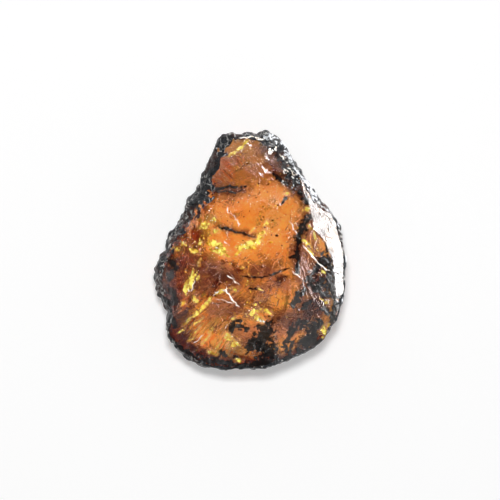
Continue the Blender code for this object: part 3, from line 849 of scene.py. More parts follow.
def blade(rng, line, deep, thick, lean=0.0, steps=8, rows=4):
    """A thin wandering sheet that hangs from a line, in millimetres, with its upper edge at z = 0. With
    a lean of 1 it lies flat."""
    sheet = bmesh.new()
    stretches = len(line) - 1
    bmesh.ops.create_grid(sheet, x_segments=steps * stretches, y_segments=rows, size=1.0)
    seed = Vector(rng.uniform(-50, 50, 3))
    for vertex in sheet.verts:
        u, v, _ = vertex.co
        share = (u + 1) / 2 * stretches
        stretch = min(int(share), stretches - 1)
        start, end = Vector(line[stretch]), Vector(line[stretch + 1])
        swell = BLADE_DEPTHS[0] + noise.noise(Vector((share * BLADE_SWELLS, 0, 7)) + seed)
        down = (v - 1) * deep / 2 * max(1 - abs(u) ** 6, BLADE_TIP) * max(swell, BLADE_DEPTHS[1])
        aside = Vector((start.y - end.y, end.x - start.x)).normalized() * down * lean
        spot = start.lerp(end, share - stretch) + aside
        swing = Vector((share * WANDER[0], down * (1 - lean) / 2, 0))
        small_swing = Vector((share * SMALL_WANDER[0], 0, 3))
        wander = noise.noise_vector(swing + seed) * WANDER[1]
        wander += noise.noise_vector(small_swing + seed) * SMALL_WANDER[1]
        vertex.co = (spot.x + wander.x, spot.y + wander.y, down * (1 - lean))
    bmesh.ops.solidify(sheet, geom=sheet.faces, thickness=thick)
    bmesh.ops.recalc_face_normals(sheet, faces=sheet.faces)
    return sheet


# Cracks that reach the skin, drawn white: their white is a painted glint along the edge: width,
# [points].
CRACK_GLINTS = [
    (0.45, [(-2.6, 25.9), (0.4, 26.1), (3.4, 25.5)]),
    (0.22, [(-5.1, 9.9), (-4.9, 8.8), (-3.6, 7.9), (-3.2, 6.9), (-2.2, 6.1), (-2.6, 5.0)]),
    (0.32, [(12.1, 1.1), (13.9, -0.8), (15.5, -2.6), (17.2, -4.0), (18.5, -4.9)]),
    (0.42, [(-6.9, -9.3), (-5.4, -9.2), (-4.6, -10.2), (-4.0, -11.1), (-3.1, -12.2), (-2.4, -13.2)]),
    (0.34, [(-8.3, -10.4), (-7.9, -9.6), (-6.9, -9.3)]),
    (0.34, [(-5.2, -5.7), (-3.3, -7.0), (-2.1, -8.1)]),
    (0.24, [(-6.0, 2.0), (-4.7, 1.1)]),
    (0.30, [(9.3, 6.8), (10.0, 5.4), (10.5, 3.8)]),
    (0.24, [(-8.0, -11.1), (-5.4, -11.6), (-3.6, -12.1)]),
    (0.24, [(6.6, 11.4), (7.2, 10.2)]),
    (0.24, [(-13.6, -9.6), (-13.1, -8.0), (-12.6, -7.0)]),
    (0.24, [(9.5, -4.6), (10.6, -5.6), (11.6, -6.4)]),
    (0.20, [(-13.0, -21.4), (-10.8, -19.6)]),
    (0.20, [(-6.0, -18.2), (-4.9, -17.0)]),
]
# Cracks and dark shreds on the ground rim and its edge.
DARK_CRACKS = [
    (0.24, [(18.4, -4.8), (19.6, -5.2), (20.6, -5.4)]),
    (0.20, [(17.8, 6.2), (18.4, 4.0), (19.0, 2.0)]),
    (0.18, [(16.8, 4.4), (17.4, 2.4), (18.0, -0.6)]),
    (0.16, [(17.6, 3.0), (18.6, 2.8), (19.6, 3.2)]),
    (0.16, [(18.4, -1.6), (19.4, -1.4), (20.6, -1.6)]),
    (0.24, [(8.8, 20.6), (10.2, 18.4), (11.4, 16.6), (12.8, 14.8)]),
    (0.22, [(13.6, 13.4), (15.0, 11.4), (16.6, 9.4)]),
    (0.22, [(17.2, 8.6), (18.6, 6.8), (19.6, 4.6)]),
    (0.20, [(12.4, 16.4), (12.0, 14.8), (13.2, 14.4)]),
    (0.18, [(15.4, 10.2), (16.4, 8.0), (17.6, 6.8)]),
]
CRACK_THICK = 0.06
CRACK_PROUD = 0.03  # how far they stand out of the window
# Bark films that run down into the resin: how deep, [points].
VEINS = [
    (2.5, [(14.2, 8.4), (13.0, 6.6), (12.1, 4.7), (11.2, 2.4), (10.7, 0.1), (11.0, -2.6), (10.7, -5.1)]),
    (4.0, [(9.8, 16.2), (11.0, 13.9), (12.6, 11.8), (13.9, 10.2)]),
    (3.0, [(1.3, -19.0), (3.4, -21.5), (3.2, -24.5)]),
    (3.0, [(11.4, -16.4), (10.5, -17.8), (9.3, -19.4)]),
]  # fmt: skip
VEIN_THICK = 0.12
VEIN_DEPTH = 0.3


def blades(name, seed, lines, thick, depth, faces, material, **shape):
    """One piece of a blade along each line, which lies depth under the window."""
    rng = np.random.default_rng(seed)
    whole = bmesh.new()
    for deep, line in lines:
        sheet = blade(rng, line, deep, thick, **shape)
        drape(sheet, faces, depth)
        join(whole, sheet)
    add_mesh(name, whole, [material])


# Thin gaps where the resin has cracked inside: x, y, depth, length, width, turn, lean, tilt.
GAPS = [
    (-4.0, -3.5, 2.5, 7.0, 3.4, -20, 250, 36), (-12.5, -5.0, 2.0, 6.0, 3.5, 40, 300, 34),
    (-8.5, -9.5, 2.2, 7.0, 3.4, 35, 310, 38), (-13.0, -16.5, 2.0, 7.0, 3.2, 40, 310, 38),
    (-6.5, -17.0, 2.2, 6.5, 3.0, 35, 305, 36), (2.5, -12.0, 2.5, 6.0, 3.8, 10, 270, 34),
    (5.0, 18.0, 1.8, 5.0, 3.0, -45, 225, 34), (7.5, -7.0, 3.0, 7.0, 3.6, 30, 300, 36),
    (-2.5, 19.5, 2.0, 5.5, 3.0, 20, 100, 34), (10.0, -14.5, 2.5, 6.0, 3.6, 35, 305, 36),
]  # fmt: skip
GAP_RAGGED, GAP_CUTS = 0.9, (28, 20)
GAP_THICK = 0.06
GAP_BEND = (1.8, 0.6)


def air_gaps(faces, material):
    """Each gap is a large flake that is tipped steeply, with its middle depth under the window."""
    rng = np.random.default_rng(seed=16)
    gaps = bmesh.new()
    for x, y, depth, length, width, turn, lean, tilt in GAPS:
        gap = flake(rng, 0, 0, length, width, turn, GAP_RAGGED, GAP_CUTS, GAP_THICK)
        for vertex in gap.verts:
            vertex.co.z += GAP_BEND[1] * noise.noise(vertex.co / GAP_BEND[0] + Vector((x, y, 0)))
        tilt = math.radians(tilt)
        tip(gap, math.radians(lean), tilt)
        put_down(gap, x, y, window_height(faces, x, y) - depth - width * math.sin(tilt) / 2)
        join(gaps, gap)
    add_mesh("air_gaps", gaps, [material])


# Single grains under the skin: x, y, width.
GRAINS = [
    (-2.6, 10.9, 0.5), (2.0, 15.1, 0.5), (5.2, 6.8, 0.5), (6.1, 3.3, 0.8), (6.4, 10.2, 0.5),
    (2.2, 13.2, 0.4), (3.4, 5.2, 0.5), (-1.6, 2.2, 0.4), (9.0, -1.6, 0.6), (-3.6, 12.2, 0.5),
]  # fmt: skip

# Nests of dust: x, y, spread, how many.
DUST = [
    (-4.6, 13.4, 3.6, 40), (4.5, 6.5, 3.4, 30), (9.5, -20.0, 3.2, 50), (14.0, -8.0, 3.6, 50),
    (0.0, 0.0, 12.0, 110), (2.0, -9.0, 4.0, 40),
]  # fmt: skip
GRAIN_SHAPE = (1.2, 0.8, 0.7)
GRAIN_DEPTH = 0.4
DUST_SHAPES = (0.4, 1.6)
DUST_SIZES = (0.06, 0.18)
DUST_DEPTHS = (0.35, 0.9)  # the least, and how far it lies under that on average


def grit(x, y, radius, sizes):
    """A lump with few faces, stretched by sizes, in millimetres."""
    lump = bmesh.new()
    bmesh.ops.create_icosphere(lump, subdivisions=1, radius=radius)
    bmesh.ops.scale(lump, verts=lump.verts, vec=sizes)
    bmesh.ops.translate(lump, verts=lump.verts, vec=(x, y, 0))
    return lump


def bark_dust(faces, material):
    """Grit and bark dust, from just under the skin to a few millimetres down."""
    rng = np.random.default_rng(seed=14)
    dust = bmesh.new()
    for x, y, width in GRAINS:
        lump = grit(x, y, width / 2, GRAIN_SHAPE)
        drape(lump, faces, GRAIN_DEPTH)
        join(dust, lump)
    for x, y, stray, count in DUST:
        for _ in range(count):
            sizes = rng.uniform(*DUST_SHAPES, 3) * rng.uniform(*DUST_SIZES)
            spot = rng.normal((x, y), stray)
            if window_height(faces, *spot) is None:
                continue
            lump = grit(*spot, 1.0, sizes)
            drape(lump, faces, DUST_DEPTHS[0] + rng.exponential(DUST_DEPTHS[1]))
            join(dust, lump)
    add_mesh("bark_dust", dust, [material])


# ---------------------------------------------------------------- materials


def new_material(name):
    """A material: its node tree, its shader and itself."""
    material = bpy.data.materials.new(name)
    material.use_nodes = True
    tree = material.node_tree
    return tree, tree.nodes["Principled BSDF"], material


def feed(tree, socket, value):
    """Links a value from a node to a socket, or sets the socket to a plain value."""
    if isinstance(value, bpy.types.NodeSocket):
        tree.links.new(value, socket)
    else:
        socket.default_value = value


def feed_shader(tree, shader, **values):
    """Links or sets inputs of a shader by name."""
    for name, value in values.items():
        feed(tree, shader.inputs[name.replace("_", " ")], value)


def add_node(tree, kind, setup=(), **values):
    """A new shader node. setup sets its properties; each value sets an input or is linked to it."""
    made = tree.nodes.new("ShaderNode" + kind)
    for name, value in dict(setup).items():
        setattr(made, name, value)
    for name, value in values.items():
        label = name.replace("_", " ")
        feed(tree, next(s for s in made.inputs if s.enabled and s.name == label), value)
    return made


def place_in(tree):
    """Where a point is on the stone, in metres."""
    return add_node(tree, "TexCoord").outputs["Object"]


def attribute(tree, name):
    return add_node(tree, "Attribute", {"attribute_name": name}).outputs["Fac"]


def mixed(tree, share, first, second):
    """The first colour, and a share of the second."""
    mix = add_node(tree, "Mix", {"data_type": "RGBA"}, Factor=share, A=first, B=second)
    return next(s for s in mix.outputs if s.enabled)


def spread(tree, value, low, high, to_low=0.0, to_high=1.0):
    """A value that runs from low to high, put to run from to_low to to_high."""
    ranged = add_node(
        tree, "MapRange", Value=value, From_Min=low, From_Max=high, To_Min=to_low, To_Max=to_high
    )
    return ranged.outputs["Result"]


def shaded(tree, mask, at_none, at_full):
    """A number that goes from at_none where the mask is 0 to at_full where it is 1."""
    return spread(tree, mask, 0.0, 1.0, at_none, at_full)


def worked(tree, first, second, operation="MULTIPLY"):
    """The outcome of a sum in the shader."""
    node = add_node(tree, "Math", {"operation": operation})
    for socket, value in zip(node.inputs, (first, second)):
        feed(tree, socket, value)
    return node.outputs[0]


def moved(tree, operation, first, second):
    """The outcome of a sum with places."""
    node = add_node(tree, "VectorMath", {"operation": operation})
    for socket, value in zip(node.inputs, (first, second)):
        feed(tree, socket, value)
    return node.outputs[0]


def noise_in(tree, place, scale, **values):
    """Grey noise, from 0 to 1."""
    return add_node(tree, "TexNoise", Vector=place, Scale=scale, **values).outputs["Fac"]


def new_group(name, inputs, output):
    """An empty shader node group: itself, its inputs and the socket for its one output. Each input is
    named, with its default, and Place is a vector."""
    group = bpy.data.node_groups.new(name, "ShaderNodeTree")
    group.interface.new_socket("Place", in_out="INPUT", socket_type="NodeSocketVector")
    for label, value in inputs.items():
        socket = group.interface.new_socket(label, in_out="INPUT", socket_type="NodeSocketFloat")
        socket.default_value = value
    group.interface.new_socket(output, in_out="OUTPUT", socket_type="NodeSocketFloat")
    given, result = group.nodes.new("NodeGroupInput"), group.nodes.new("NodeGroupOutput")
    return group, given.outputs, result.inputs[output]


def scale_of(group, size):
    """The scale of a pattern of that size in millimetres."""
    return worked(group, 1 / MM, size, "DIVIDE")


def cloud_group():
    """A soft patchy mask: 0 under Low, 1 over High."""
    inputs = {"Size": 1.0, "Low": 0.4, "High": 0.6, "Detail": 4.0, "Swirl": 0.0}
    group, given, result = new_group("cloud", inputs, "Mask")
    scale = scale_of(group, given["Size"])
    cloud = noise_in(group, given["Place"], scale, Detail=given["Detail"], Distortion=given["Swirl"])
    group.links.new(spread(group, cloud, given["Low"], given["High"]), result)
    return group


def frayed_group():
    """The mask of a painted mark, with its edge frayed by two sizes of noise."""
    inputs = {"Mark": 0.0, "Size": 1.0, "Fray": 1.0, "Edge": 0.2}
    group, given, result = new_group("frayed_mark", inputs, "Mask")
    scale = scale_of(group, given["Size"])
    grain = noise_in(group, given["Place"], scale, Detail=6.0, Roughness=0.65, Distortion=0.6)
    shaken = worked(group, worked(group, grain, 0.5, "SUBTRACT"), given["Fray"])
    total = worked(group, given["Mark"], shaken, "ADD")
    low = worked(group, given["Edge"], -1.0)
    group.links.new(spread(group, total, low, given["Edge"]), result)
    return group


CRACKLE_STRAY = 1.2  # how far the lines wander, in millimetres
CRACKLE_GAPS = (0.46, 0.58)  # the lines are broken where the noise is under this range


def crackle_group():
    """Broken wandering lines between plates of a size."""
    group, given, result = new_group("crackle", {"Size": 1.0, "Width": 0.1}, "Mask")
    scale = scale_of(group, given["Size"])
    swirl = add_node(group, "TexNoise", Vector=given["Place"], Scale=scale, Detail=3.0)
    astray = add_node(group, "VectorMath", {"operation": "SCALE"}, Scale=CRACKLE_STRAY * MM)
    group.links.new(swirl.outputs["Color"], astray.inputs[0])
    place = moved(group, "ADD", given["Place"], astray.outputs[0])
    plates = add_node(group, "TexVoronoi", {"feature": "DISTANCE_TO_EDGE"}, Vector=place, Scale=scale)
    line = spread(group, plates.outputs["Distance"], given["Width"], 0.0)
    gaps = noise_in(group, given["Place"], scale, Detail=4.0, Roughness=0.7)
    group.links.new(worked(group, line, spread(group, gaps, *CRACKLE_GAPS)), result)
    return group


def grain_group():
    """Two sizes of grain, and waves, added into one height."""
    inputs = {"Coarse": 1.0, "Fine": 0.4, "Fine Share": 0.4, "Waves": 0.0}
    group, given, result = new_group("grain", inputs, "Height")
    height = given["Waves"]
    for size, share in ((given["Coarse"], 1.0), (given["Fine"], given["Fine Share"])):
        grain = noise_in(group, given["Place"], scale_of(group, size), Detail=5.0, Roughness=0.6)
        height = worked(group, height, worked(group, grain, share), "ADD")
    group.links.new(height, result)
    return group


CLOUD, FRAYED, CRACKLE, GRAIN = cloud_group(), frayed_group(), crackle_group(), grain_group()


def placed(tree, group, **values):
    """The output of a node group that is placed in a material with its own values."""
    node = add_node(tree, "Group", {"node_tree": group}, **values)
    return node.outputs[0]


def cloud(tree, place, size, low, high, detail, swirl):
    return placed(tree, CLOUD, Place=place, Size=size, Low=low, High=high, Detail=detail, Swirl=swirl)


def frayed(tree, place, mark, size, fray, edge):
    return placed(tree, FRAYED, Place=place, Mark=mark, Size=size, Fray=fray, Edge=edge)


def crackle(tree, place, size, width):
    return placed(tree, CRACKLE, Place=place, Size=size, Width=width)


def bump(tree, shader, place, depth, **grain):
    """Bumps the shader's normal by grain that is depth millimetres high."""
    height = placed(tree, GRAIN, Place=place, **grain)
    node = add_node(tree, "Bump", Strength=1.0, Distance=depth * MM, Height=height)
    tree.links.new(node.outputs["Normal"], shader.inputs["Normal"])


def round_about(tree, place, centre):
    """How far each place is from an upright axis through centre, in millimetres, and in which direction.
    The jump in direction lies towards +X."""
    offset = moved(tree, "SUBTRACT", place, (centre[0] * MM, centre[1] * MM, 0))
    flat = add_node(tree, "SeparateXYZ", Vector=offset)
    x, y = (worked(tree, flat.outputs[axis], -1 / MM) for axis in "XY")
    reach = worked(tree, worked(tree, x, 2.0, "POWER"), worked(tree, y, 2.0, "POWER"), "ADD")
    return worked(tree, reach, 0.5, "POWER"), worked(tree, y, x, "ARCTAN2")


AMBER_IOR = 1.54
AMBER_CLEAR = (0.96, 0.50, 0.05, 1)  # red passes, green fades and blue is soon gone
AMBER_DENSITY = 85.0


def fill_with_resin(tree, shader):
    """Makes a skin clear, with resin under it."""
    feed_shader(tree, shader, IOR=AMBER_IOR, Transmission_Weight=1.0)
    absorption = add_node(tree, "VolumeAbsorption", Color=AMBER_CLEAR, Density=AMBER_DENSITY)
    tree.links.new(absorption.outputs["Volume"], tree.nodes["Material Output"].inputs["Volume"])


CLEAR_COGNAC = (1.0, 0.82, 0.26, 1)
DEEP_COGNAC = (1.0, 0.54, 0.12, 1)
# Lighter tint over the golden nests: less amber over the gold, and a painted glow round it.
GOLD_GLOW_TINT = (1.0, 1.0, 0.75, 1)
BRICK = (1.0, 0.26, 0.04, 1)
GARNET = (0.30, 0.05, 0.02, 1)
# The colour of the painted shade next to the rind.
RIND_SHADE_COLOUR = (0.07, 0.018, 0.014, 1)
BROWN_STAIN = (0.10, 0.045, 0.03, 1)
OLIVE_STAIN = (0.30, 0.32, 0.07, 1)
SMOKE_STAIN = (0.13, 0.06, 0.04, 1)
DUSK_STAIN = (0.36, 0.20, 0.16, 1)
RESIN_BLACK = (0.0006, 0.0008, 0.0012, 1)
STAINS = [  # attribute, stain, size of the fray, how strong it is, softness of the edge
    ("brown", BROWN_STAIN, 2.4, 4.5, 0.5),
    ("olive", OLIVE_STAIN, 1.3, 5.0, 0.3),
    ("dark_below", RESIN_BLACK, 1.6, 4.0, 0.2),
    ("dusk", DUSK_STAIN, 2.2, 2.4, 0.35),
    ("smoke", SMOKE_STAIN, 1.6, 4.0, 0.8),
    ("dark", RESIN_BLACK, 0.9, 5.5, 0.10),
    ("clear", GOLD_GLOW_TINT, 1.2, 3.0, 0.4),
]
SPECK_SPACING = 1.4
SPECK_EDGE = (0.13, 0.07)
RAYS = (40.0, 0.16)  # how often they change, to a radian round the bowl and to a millimetre out
RINGS = (5.0, 0.9)


def drawn_out(tree, way, reach, to_radian, to_millimetre):
    """Noise that is drawn out along the hackles or the ripples."""
    x, y = worked(tree, way, to_radian), worked(tree, reach, to_millimetre)
    place = add_node(tree, "CombineXYZ", X=x, Y=y).outputs[0]
    return noise_in(tree, place, 1.0, Detail=4.0, Roughness=0.6)


def amber_resin():
    """Clear cognac that clouds, with red and dark hackles, with painted shade next to the rind, and
    stained by what the marks say.
    """
    tree, shader, material = new_material("amber_resin")
    place = place_in(tree)
    flow = cloud(tree, place, 7.0, 0.42, 0.66, 5.0, 1.2)
    colour = mixed(tree, flow, CLEAR_COGNAC, DEEP_COGNAC)
    reach, way = round_about(tree, place, STRUCK_AT)
    rays, rings = drawn_out(tree, way, reach, *RAYS), drawn_out(tree, way, reach, *RINGS)
    streaked = spread(tree, attribute(tree, "streaks"), -0.4, 0.4)
    hackle = worked(tree, spread(tree, rays, 0.50, 0.55), streaked)
    colour = mixed(tree, hackle, colour, BRICK)
    shade = worked(tree, spread(tree, rays, 0.45, 0.40), streaked)
    colour = mixed(tree, shade, colour, GARNET)
    colour = mixed(tree, spread(tree, rings, 0.50, 0.72, 0.0, 0.8), colour, DEEP_COGNAC)
    # Painted shade next to the rind darkens the resin.
    rind_shade = spread(tree, attribute(tree, "rind_shade"), 0.15, 0.8, -1.0, 1.0)
    colour = mixed(tree, frayed(tree, place, rind_shade, 1.8, 4.0, 0.7), colour, RIND_SHADE_COLOUR)
    for name, stain, *edge in STAINS:
        colour = mixed(tree, frayed(tree, place, attribute(tree, name), *edge), colour, stain)
    specks = add_node(tree, "TexVoronoi", Vector=place, Scale=1 / MM / SPECK_SPACING)
    sparse = cloud(tree, place, 3.0, 0.46, 0.60, 2.0, 0.0)
    speck = worked(tree, spread(tree, specks.outputs["Distance"], *SPECK_EDGE), sparse)
    colour = mixed(tree, speck, colour, RESIN_BLACK)
    feed_shader(tree, shader, Base_Color=colour, Roughness=shaded(tree, flow, 0.03, 0.10))
    waves = worked(tree, worked(tree, rays, streaked), 1.4)
    waves = worked(tree, waves, worked(tree, rings, 0.7), "ADD")
    chips = crackle(tree, place, 2.4, 0.07)
    waves = worked(tree, waves, worked(tree, chips, 0.6), "ADD")
    bump(tree, shader, place, 0.22, Coarse=1.8, Fine=0.5, Fine_Share=0.45, Waves=waves)
    fill_with_resin(tree, shader)
    return material


RIND_BLACK = (0.004, 0.005, 0.007, 1)
RIND_SLATE = (0.022, 0.026, 0.032, 1)
RIND_PALE_GLINT = (0.58, 0.56, 0.53, 1)
RIND_BROWN = (0.05, 0.018, 0.012, 1)
RIND_INSIDE = (0.95, 0.48, 0.14, 1)


def weathered_rind():
    """Black and slate crust with pale flecks and seams, partly pale crust and partly painted glints.
    From inside, through the resin, it is amber and brown."""
    tree, shader, material = new_material("weathered_rind")
    place = place_in(tree)
    slate = cloud(tree, place, 2.0, 0.48, 0.64, 6.0, 0.8)
    brown = cloud(tree, place, 5.0, 0.50, 0.66, 4.0, 0.5)
    crust = cloud(tree, place, 4.5, 0.46, 0.58, 3.0, 0.3)
    # Pale flecks and seams: partly pale crust, partly painted glints of glassy chips catching the light.
    flecks = cloud(tree, place, 0.8, 0.585, 0.63, 8.0, 0.6)
    seams = crackle(tree, place, 2.0, 0.06)
    pale = worked(tree, worked(tree, flecks, seams, "MAXIMUM"), shaded(tree, crust, 0.06, 1.0))
    outside = mixed(tree, slate, RIND_BLACK, RIND_SLATE)
    outside = mixed(tree, brown, outside, RIND_BROWN)
    outside = mixed(tree, pale, outside, RIND_PALE_GLINT)
    inside = mixed(tree, brown, RIND_INSIDE, RIND_BROWN)
    backfacing = add_node(tree, "NewGeometry").outputs["Backfacing"]
    colour = mixed(tree, backfacing, outside, inside)
    feed_shader(tree, shader, Base_Color=colour, Roughness=shaded(tree, slate, 0.08, 0.24))
    feed_shader(tree, shader, Specular_IOR_Level=0.22)
    bump(tree, shader, place, 0.8, Coarse=1.4, Fine=0.45, Fine_Share=0.5)
    return material


RIM_BRIGHT = (0.30, 0.30, 0.32, 1)
RIM_DULL = (0.08, 0.08, 0.09, 1)


def polished_rim():
    """The rim was ground flat and polished, so it is smooth resin that mirrors the light."""
    tree, shader, material = new_material("polished_rim")
    place = place_in(tree)
    dull = cloud(tree, place, 3.4, 0.46, 0.62, 4.0, 0.4)
    nicks = cloud(tree, place, 0.8, 0.69, 0.72, 3.0, 2.5)
    seams = crackle(tree, place, 3.2, 0.03)
    dark = worked(tree, nicks, seams, "MAXIMUM")
    colour = mixed(tree, dark, mixed(tree, dull, RIM_BRIGHT, RIM_DULL), RESIN_BLACK)
    rough = worked(tree, shaded(tree, dull, 0.08, 0.24), worked(tree, dark, 0.6), "ADD")
    feed_shader(tree, shader, Base_Color=colour, Roughness=rough)
    bump(tree, shader, place, 0.05, Coarse=2.4, Fine=0.4, Fine_Share=0.3)
    fill_with_resin(tree, shader)
    return material


EDGE_PALE = (0.55, 0.57, 0.60, 1)
EDGE_DARK = (0.012, 0.010, 0.010, 1)


def worn_edge():
    """The outer edge of the rim, rubbed pale, with shreds of the dark rind left on it."""
    tree, shader, material = new_material("worn_edge")
    place = place_in(tree)
    shreds = cloud(tree, place, 1.5, 0.52, 0.56, 6.0, 1.5)
    seams = crackle(tree, place, 1.5, 0.10)
    dark = worked(tree, shreds, seams, "MAXIMUM")
    colour = mixed(tree, dark, EDGE_PALE, EDGE_DARK)
    feed_shader(tree, shader, Base_Color=colour, Roughness=shaded(tree, dark, 0.35, 0.15))
    bump(tree, shader, place, 0.3, Coarse=1.2, Fine=0.4)
    return material


GILT_BRIGHT = (1.0, 0.92, 0.22, 1)
GILT_DULL = (0.60, 0.38, 0.05, 1)
# Colours of the painted glow that the golden scales give off by emission.
GLOW_DARK = (0.05, 0.02, 0.0, 1)
GLOW_MIDDLE = (0.36, 0.24, 0.025, 1)
GLOW_LEMON = (0.95, 0.98, 0.26, 1)


def sun_gold():
    """Gilt fractures. A part of their light is their own: the emission paints glints and a glow that no
    lamp gives them.
    """
    tree, shader, material = new_material("sun_gold")
    place = place_in(tree)
    patch = cloud(tree, place, 1.1, 0.40, 0.58, 5.0, 1.0)
    # Painted glints: where this is high, the glow is lemon.
    painted_glint = cloud(tree, place, 0.8, 0.50, 0.58, 3.0, 0.8)
    colour = mixed(tree, patch, GILT_BRIGHT, GILT_DULL)
    glow = mixed(tree, painted_glint, mixed(tree, patch, GLOW_MIDDLE, GLOW_DARK), GLOW_LEMON)
    feed_shader(tree, shader, Base_Color=colour, Roughness=shaded(tree, patch, 0.22, 0.5))
    feed_shader(tree, shader, Metallic=0.5, Emission_Color=glow, Emission_Strength=1.0)
    bump(tree, shader, place, 0.02, Coarse=0.5, Fine=0.2)
    return material


# Colours of the white painted glints.
GLINT_WHITE_COLOUR = (0.95, 0.93, 0.88, 1)
GLINT_BROWN_COLOUR = (0.45, 0.33, 0.22, 1)


def painted_glint_white():
    """Chipped resin and painted glints. The emission paints a little glow of its own, which no lamp
    gives it.
    """
    tree, shader, material = new_material("painted_glint_white")
    place = place_in(tree)
    patch = cloud(tree, place, 0.6, 0.45, 0.65, 5.0, 1.0)
    colour = mixed(tree, patch, GLINT_WHITE_COLOUR, GLINT_BROWN_COLOUR)
    feed_shader(tree, shader, Base_Color=colour, Roughness=shaded(tree, patch, 0.2, 0.5))
    # Painted glow: emission that no lamp gives, so the white reads bright.
    feed_shader(tree, shader, Emission_Color=colour, Emission_Strength=0.45)
    bump(tree, shader, place, 0.06, Coarse=0.3, Fine=0.15)
    return material


BARK_BLACK = (0.006, 0.007, 0.010, 1)
BARK_BROWN = (0.06, 0.03, 0.016, 1)


def bark_black():
    """Old bark, with brown patches."""
    tree, shader, material = new_material("bark_black")
    place = place_in(tree)
    patch = cloud(tree, place, 0.8, 0.45, 0.65, 5.0, 1.0)
    colour = mixed(tree, patch, BARK_BLACK, BARK_BROWN)
    feed_shader(tree, shader, Base_Color=colour, Roughness=shaded(tree, patch, 0.35, 0.7))
    bump(tree, shader, place, 0.1, Coarse=0.4, Fine=0.15)
    return material


def air_gap():
    """Air inside the resin, so the light bends the other way."""
    tree, shader, material = new_material("air_gap")
    feed_shader(tree, shader, Base_Color=(1, 1, 1, 1), Roughness=0.05)
    feed_shader(tree, shader, IOR=1 / AMBER_IOR, Transmission_Weight=1.0)
    bump(tree, shader, place_in(tree), 0.12, Coarse=1.2, Fine=0.4)
    return material


# ---------------------------------------------------------------- floor, light and camera

FLOOR_SIZE = 1.5
FLOOR_HEIGHT, PAD_HEIGHT = -0.0002, -0.0001
FLOOR_GLOW, PAD_GLOW = 0.30, 0.80
SHEET_GREY = (0.8, 0.8, 0.8, 1)
SHEET_ROUGHNESS = 0.9
SHEET_LIGHT = (1, 1, 1, 1)
FOOT_HEIGHT = 0.06  # the stone's foot is the skin that is lower than this, in millimetres
PAD_SHARE = 0.95  # the pad reaches this share of the way to the edge of the foot
PAD_SIDES = 72
PAD_SECTOR = math.radians(4)  # the foot is measured within this of each corner of the pad


def glowing_sheet(name, form, height, glow):
    """A flat sheet under the stone that gives some light."""
    bmesh.ops.translate(form, verts=form.verts, vec=(0, 0, height))
    mesh = bpy.data.meshes.new(name)
    form.to_mesh(mesh)
    form.free()
    tree, shader, material = new_material(name)
    feed_shader(tree, shader, Base_Color=SHEET_GREY, Roughness=SHEET_ROUGHNESS)
    feed_shader(tree, shader, Emission_Color=SHEET_LIGHT, Emission_Strength=glow)
    mesh.materials.append(material)
    sheet = bpy.data.objects.new(name, mesh)
    bpy.context.scene.collection.objects.link(sheet)
    TABLE.objects.link(sheet)
    sheet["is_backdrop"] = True


def light_table(body):
    """A pale sheet, and a lit pad under the stone that is no larger than its foot."""
    table = bmesh.new()
    bmesh.ops.create_grid(table, x_segments=1, y_segments=1, size=FLOOR_SIZE)
    glowing_sheet("floor", table, FLOOR_HEIGHT, FLOOR_GLOW)
    foot = np.array([vertex.co.xy for vertex in body.data.vertices if vertex.co.z < FOOT_HEIGHT * MM])
    middle = foot.mean(axis=0)
    turns, reaches = np.arctan2(*(foot - middle).T[::-1]), np.hypot(*(foot - middle).T)
    pad = bmesh.new()
    bmesh.ops.create_circle(pad, cap_ends=True, segments=PAD_SIDES, radius=1.0)
    for vertex in pad.verts:
        aside = np.cos(turns - math.atan2(vertex.co.y, vertex.co.x))
        vertex.co *= reaches[aside > math.cos(PAD_SECTOR)].max() * PAD_SHARE
    bmesh.ops.translate(pad, verts=pad.verts, vec=(*middle, 0))
    glowing_sheet("light_pad", pad, PAD_HEIGHT, PAD_GLOW)


LIT_HEIGHT = 0.012  # the height in the stone that the lights look at

# Lights: name, azimuth, elevation, distance, width, height, radiance, what they light.
SOFTBOXES = [
    ("rim_panel", 10, 18, 0.45, 0.40, 0.12, 29, STONE),
    ("strip_left", 178, 17, 0.5, 0.30, 0.03, 18, STONE),
    ("strip_top", 95, 22, 0.5, 0.34, 0.08, 10, STONE),
    ("strip_low", 275, 26, 0.5, 0.26, 0.05, 6, STONE),
    ("facet_sheen", 312, 47, 0.5, 0.24, 0.22, 2.0, STONE),
    ("spark", 118, 50, 0.7, 0.05, 0.05, 60, STONE),
    ("table_key", 92, 81, 0.7, 0.10, 0.10, 104, TABLE),
]


def softbox(name, azimuth, elevation, distance, width, height, radiance, lights):
    """A rectangular area light that looks at the nugget from that compass angle and elevation, and
    lights only the objects of one collection."""
    lamp = bpy.data.lights.new(name, "AREA")
    lamp.shape = "RECTANGLE"
    lamp.size, lamp.size_y = width, height
    lamp.energy = radiance * math.pi * width * height
    holder = bpy.data.objects.new(name, lamp)
    bpy.context.scene.collection.objects.link(holder)
    turn, rise = math.radians(azimuth), math.radians(elevation)
    way = Vector((math.cos(turn) * math.cos(rise), math.sin(turn) * math.cos(rise), math.sin(rise)))
    holder.location = way * distance + Vector((0, 0, LIT_HEIGHT))
    holder.rotation_euler = way.to_track_quat("Z", "Y").to_euler()
    holder.light_linking.receiver_collection = lights


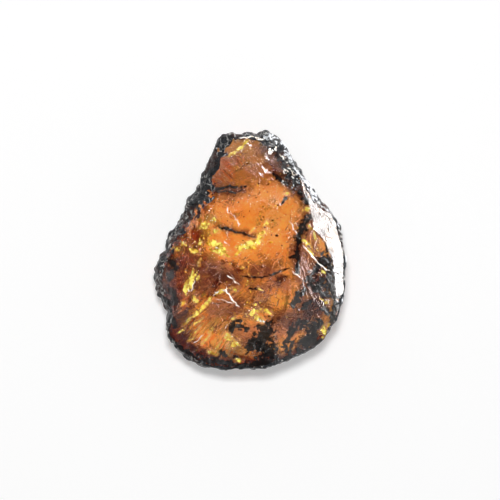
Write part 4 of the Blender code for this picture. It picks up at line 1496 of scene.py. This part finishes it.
# Brightness of the surroundings, by the sine of the height above the horizon.
SKY = [(0.0, 0.45), (0.50, 0.38), (0.74, 0.14), (1.0, 0.10)]


def daylight():
    """Surroundings that are grey, and darker overhead."""
    world = bpy.data.worlds.new("studio")
    bpy.context.scene.world = world
    world.use_nodes = True
    tree = world.node_tree
    height = add_node(tree, "SeparateXYZ", Vector=add_node(tree, "TexCoord").outputs["Generated"])
    ramp = add_node(tree, "ValToRGB", Fac=height.outputs["Z"])
    stops = ramp.color_ramp.elements
    for place, light in SKY[1:-1]:
        stops.new(place)
    for stop, (place, light) in zip(stops, SKY):
        stop.position = place
        stop.color = (light, light, light, 1)
    tree.links.new(ramp.outputs["Color"], tree.nodes["Background"].inputs["Color"])


CAMERA_DISTANCE = 1.2
FOCUS_HEIGHT = 0.014
FRAME_WIDTH = 0.1148  # how much the picture takes in at that height


def camera():
    """A long lens that looks straight down."""
    data = bpy.data.cameras.new("camera")
    data.lens = data.sensor_width * CAMERA_DISTANCE / FRAME_WIDTH
    data.clip_start, data.clip_end = 0.05, 5.0
    holder = bpy.data.objects.new("camera", data)
    holder.location = (0, 0, FOCUS_HEIGHT + CAMERA_DISTANCE)
    bpy.context.scene.collection.objects.link(holder)
    bpy.context.scene.camera = holder


bpy.context.scene.view_settings.view_transform = "Standard"
camera()
daylight()
for light in SOFTBOXES:
    softbox(*light)
body, window = nugget_body([amber_resin(), weathered_rind(), polished_rim(), worn_edge()])
light_table(body)
golden_scales(window, sun_gold())
white = painted_glint_white()
# Painted glints: white flakes on the window's skin.
painted_glint_flakes(window, white)
# Cracks on the skin, whose white is a painted glint.
blades("crack_glints", 13, CRACK_GLINTS, CRACK_THICK, -CRACK_PROUD, window, white, lean=1.0)
black = bark_black()
blades("dark_cracks", 13, DARK_CRACKS, CRACK_THICK, -CRACK_PROUD, window, black, lean=1.0)
blades("bark_veins", 15, VEINS, VEIN_THICK, VEIN_DEPTH, window, black, steps=10, rows=12)
bark_dust(window, black)
air_gaps(window, air_gap())

corners = [[list(map(float, corner)) for corner in box] for box in (cad_box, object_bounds())]
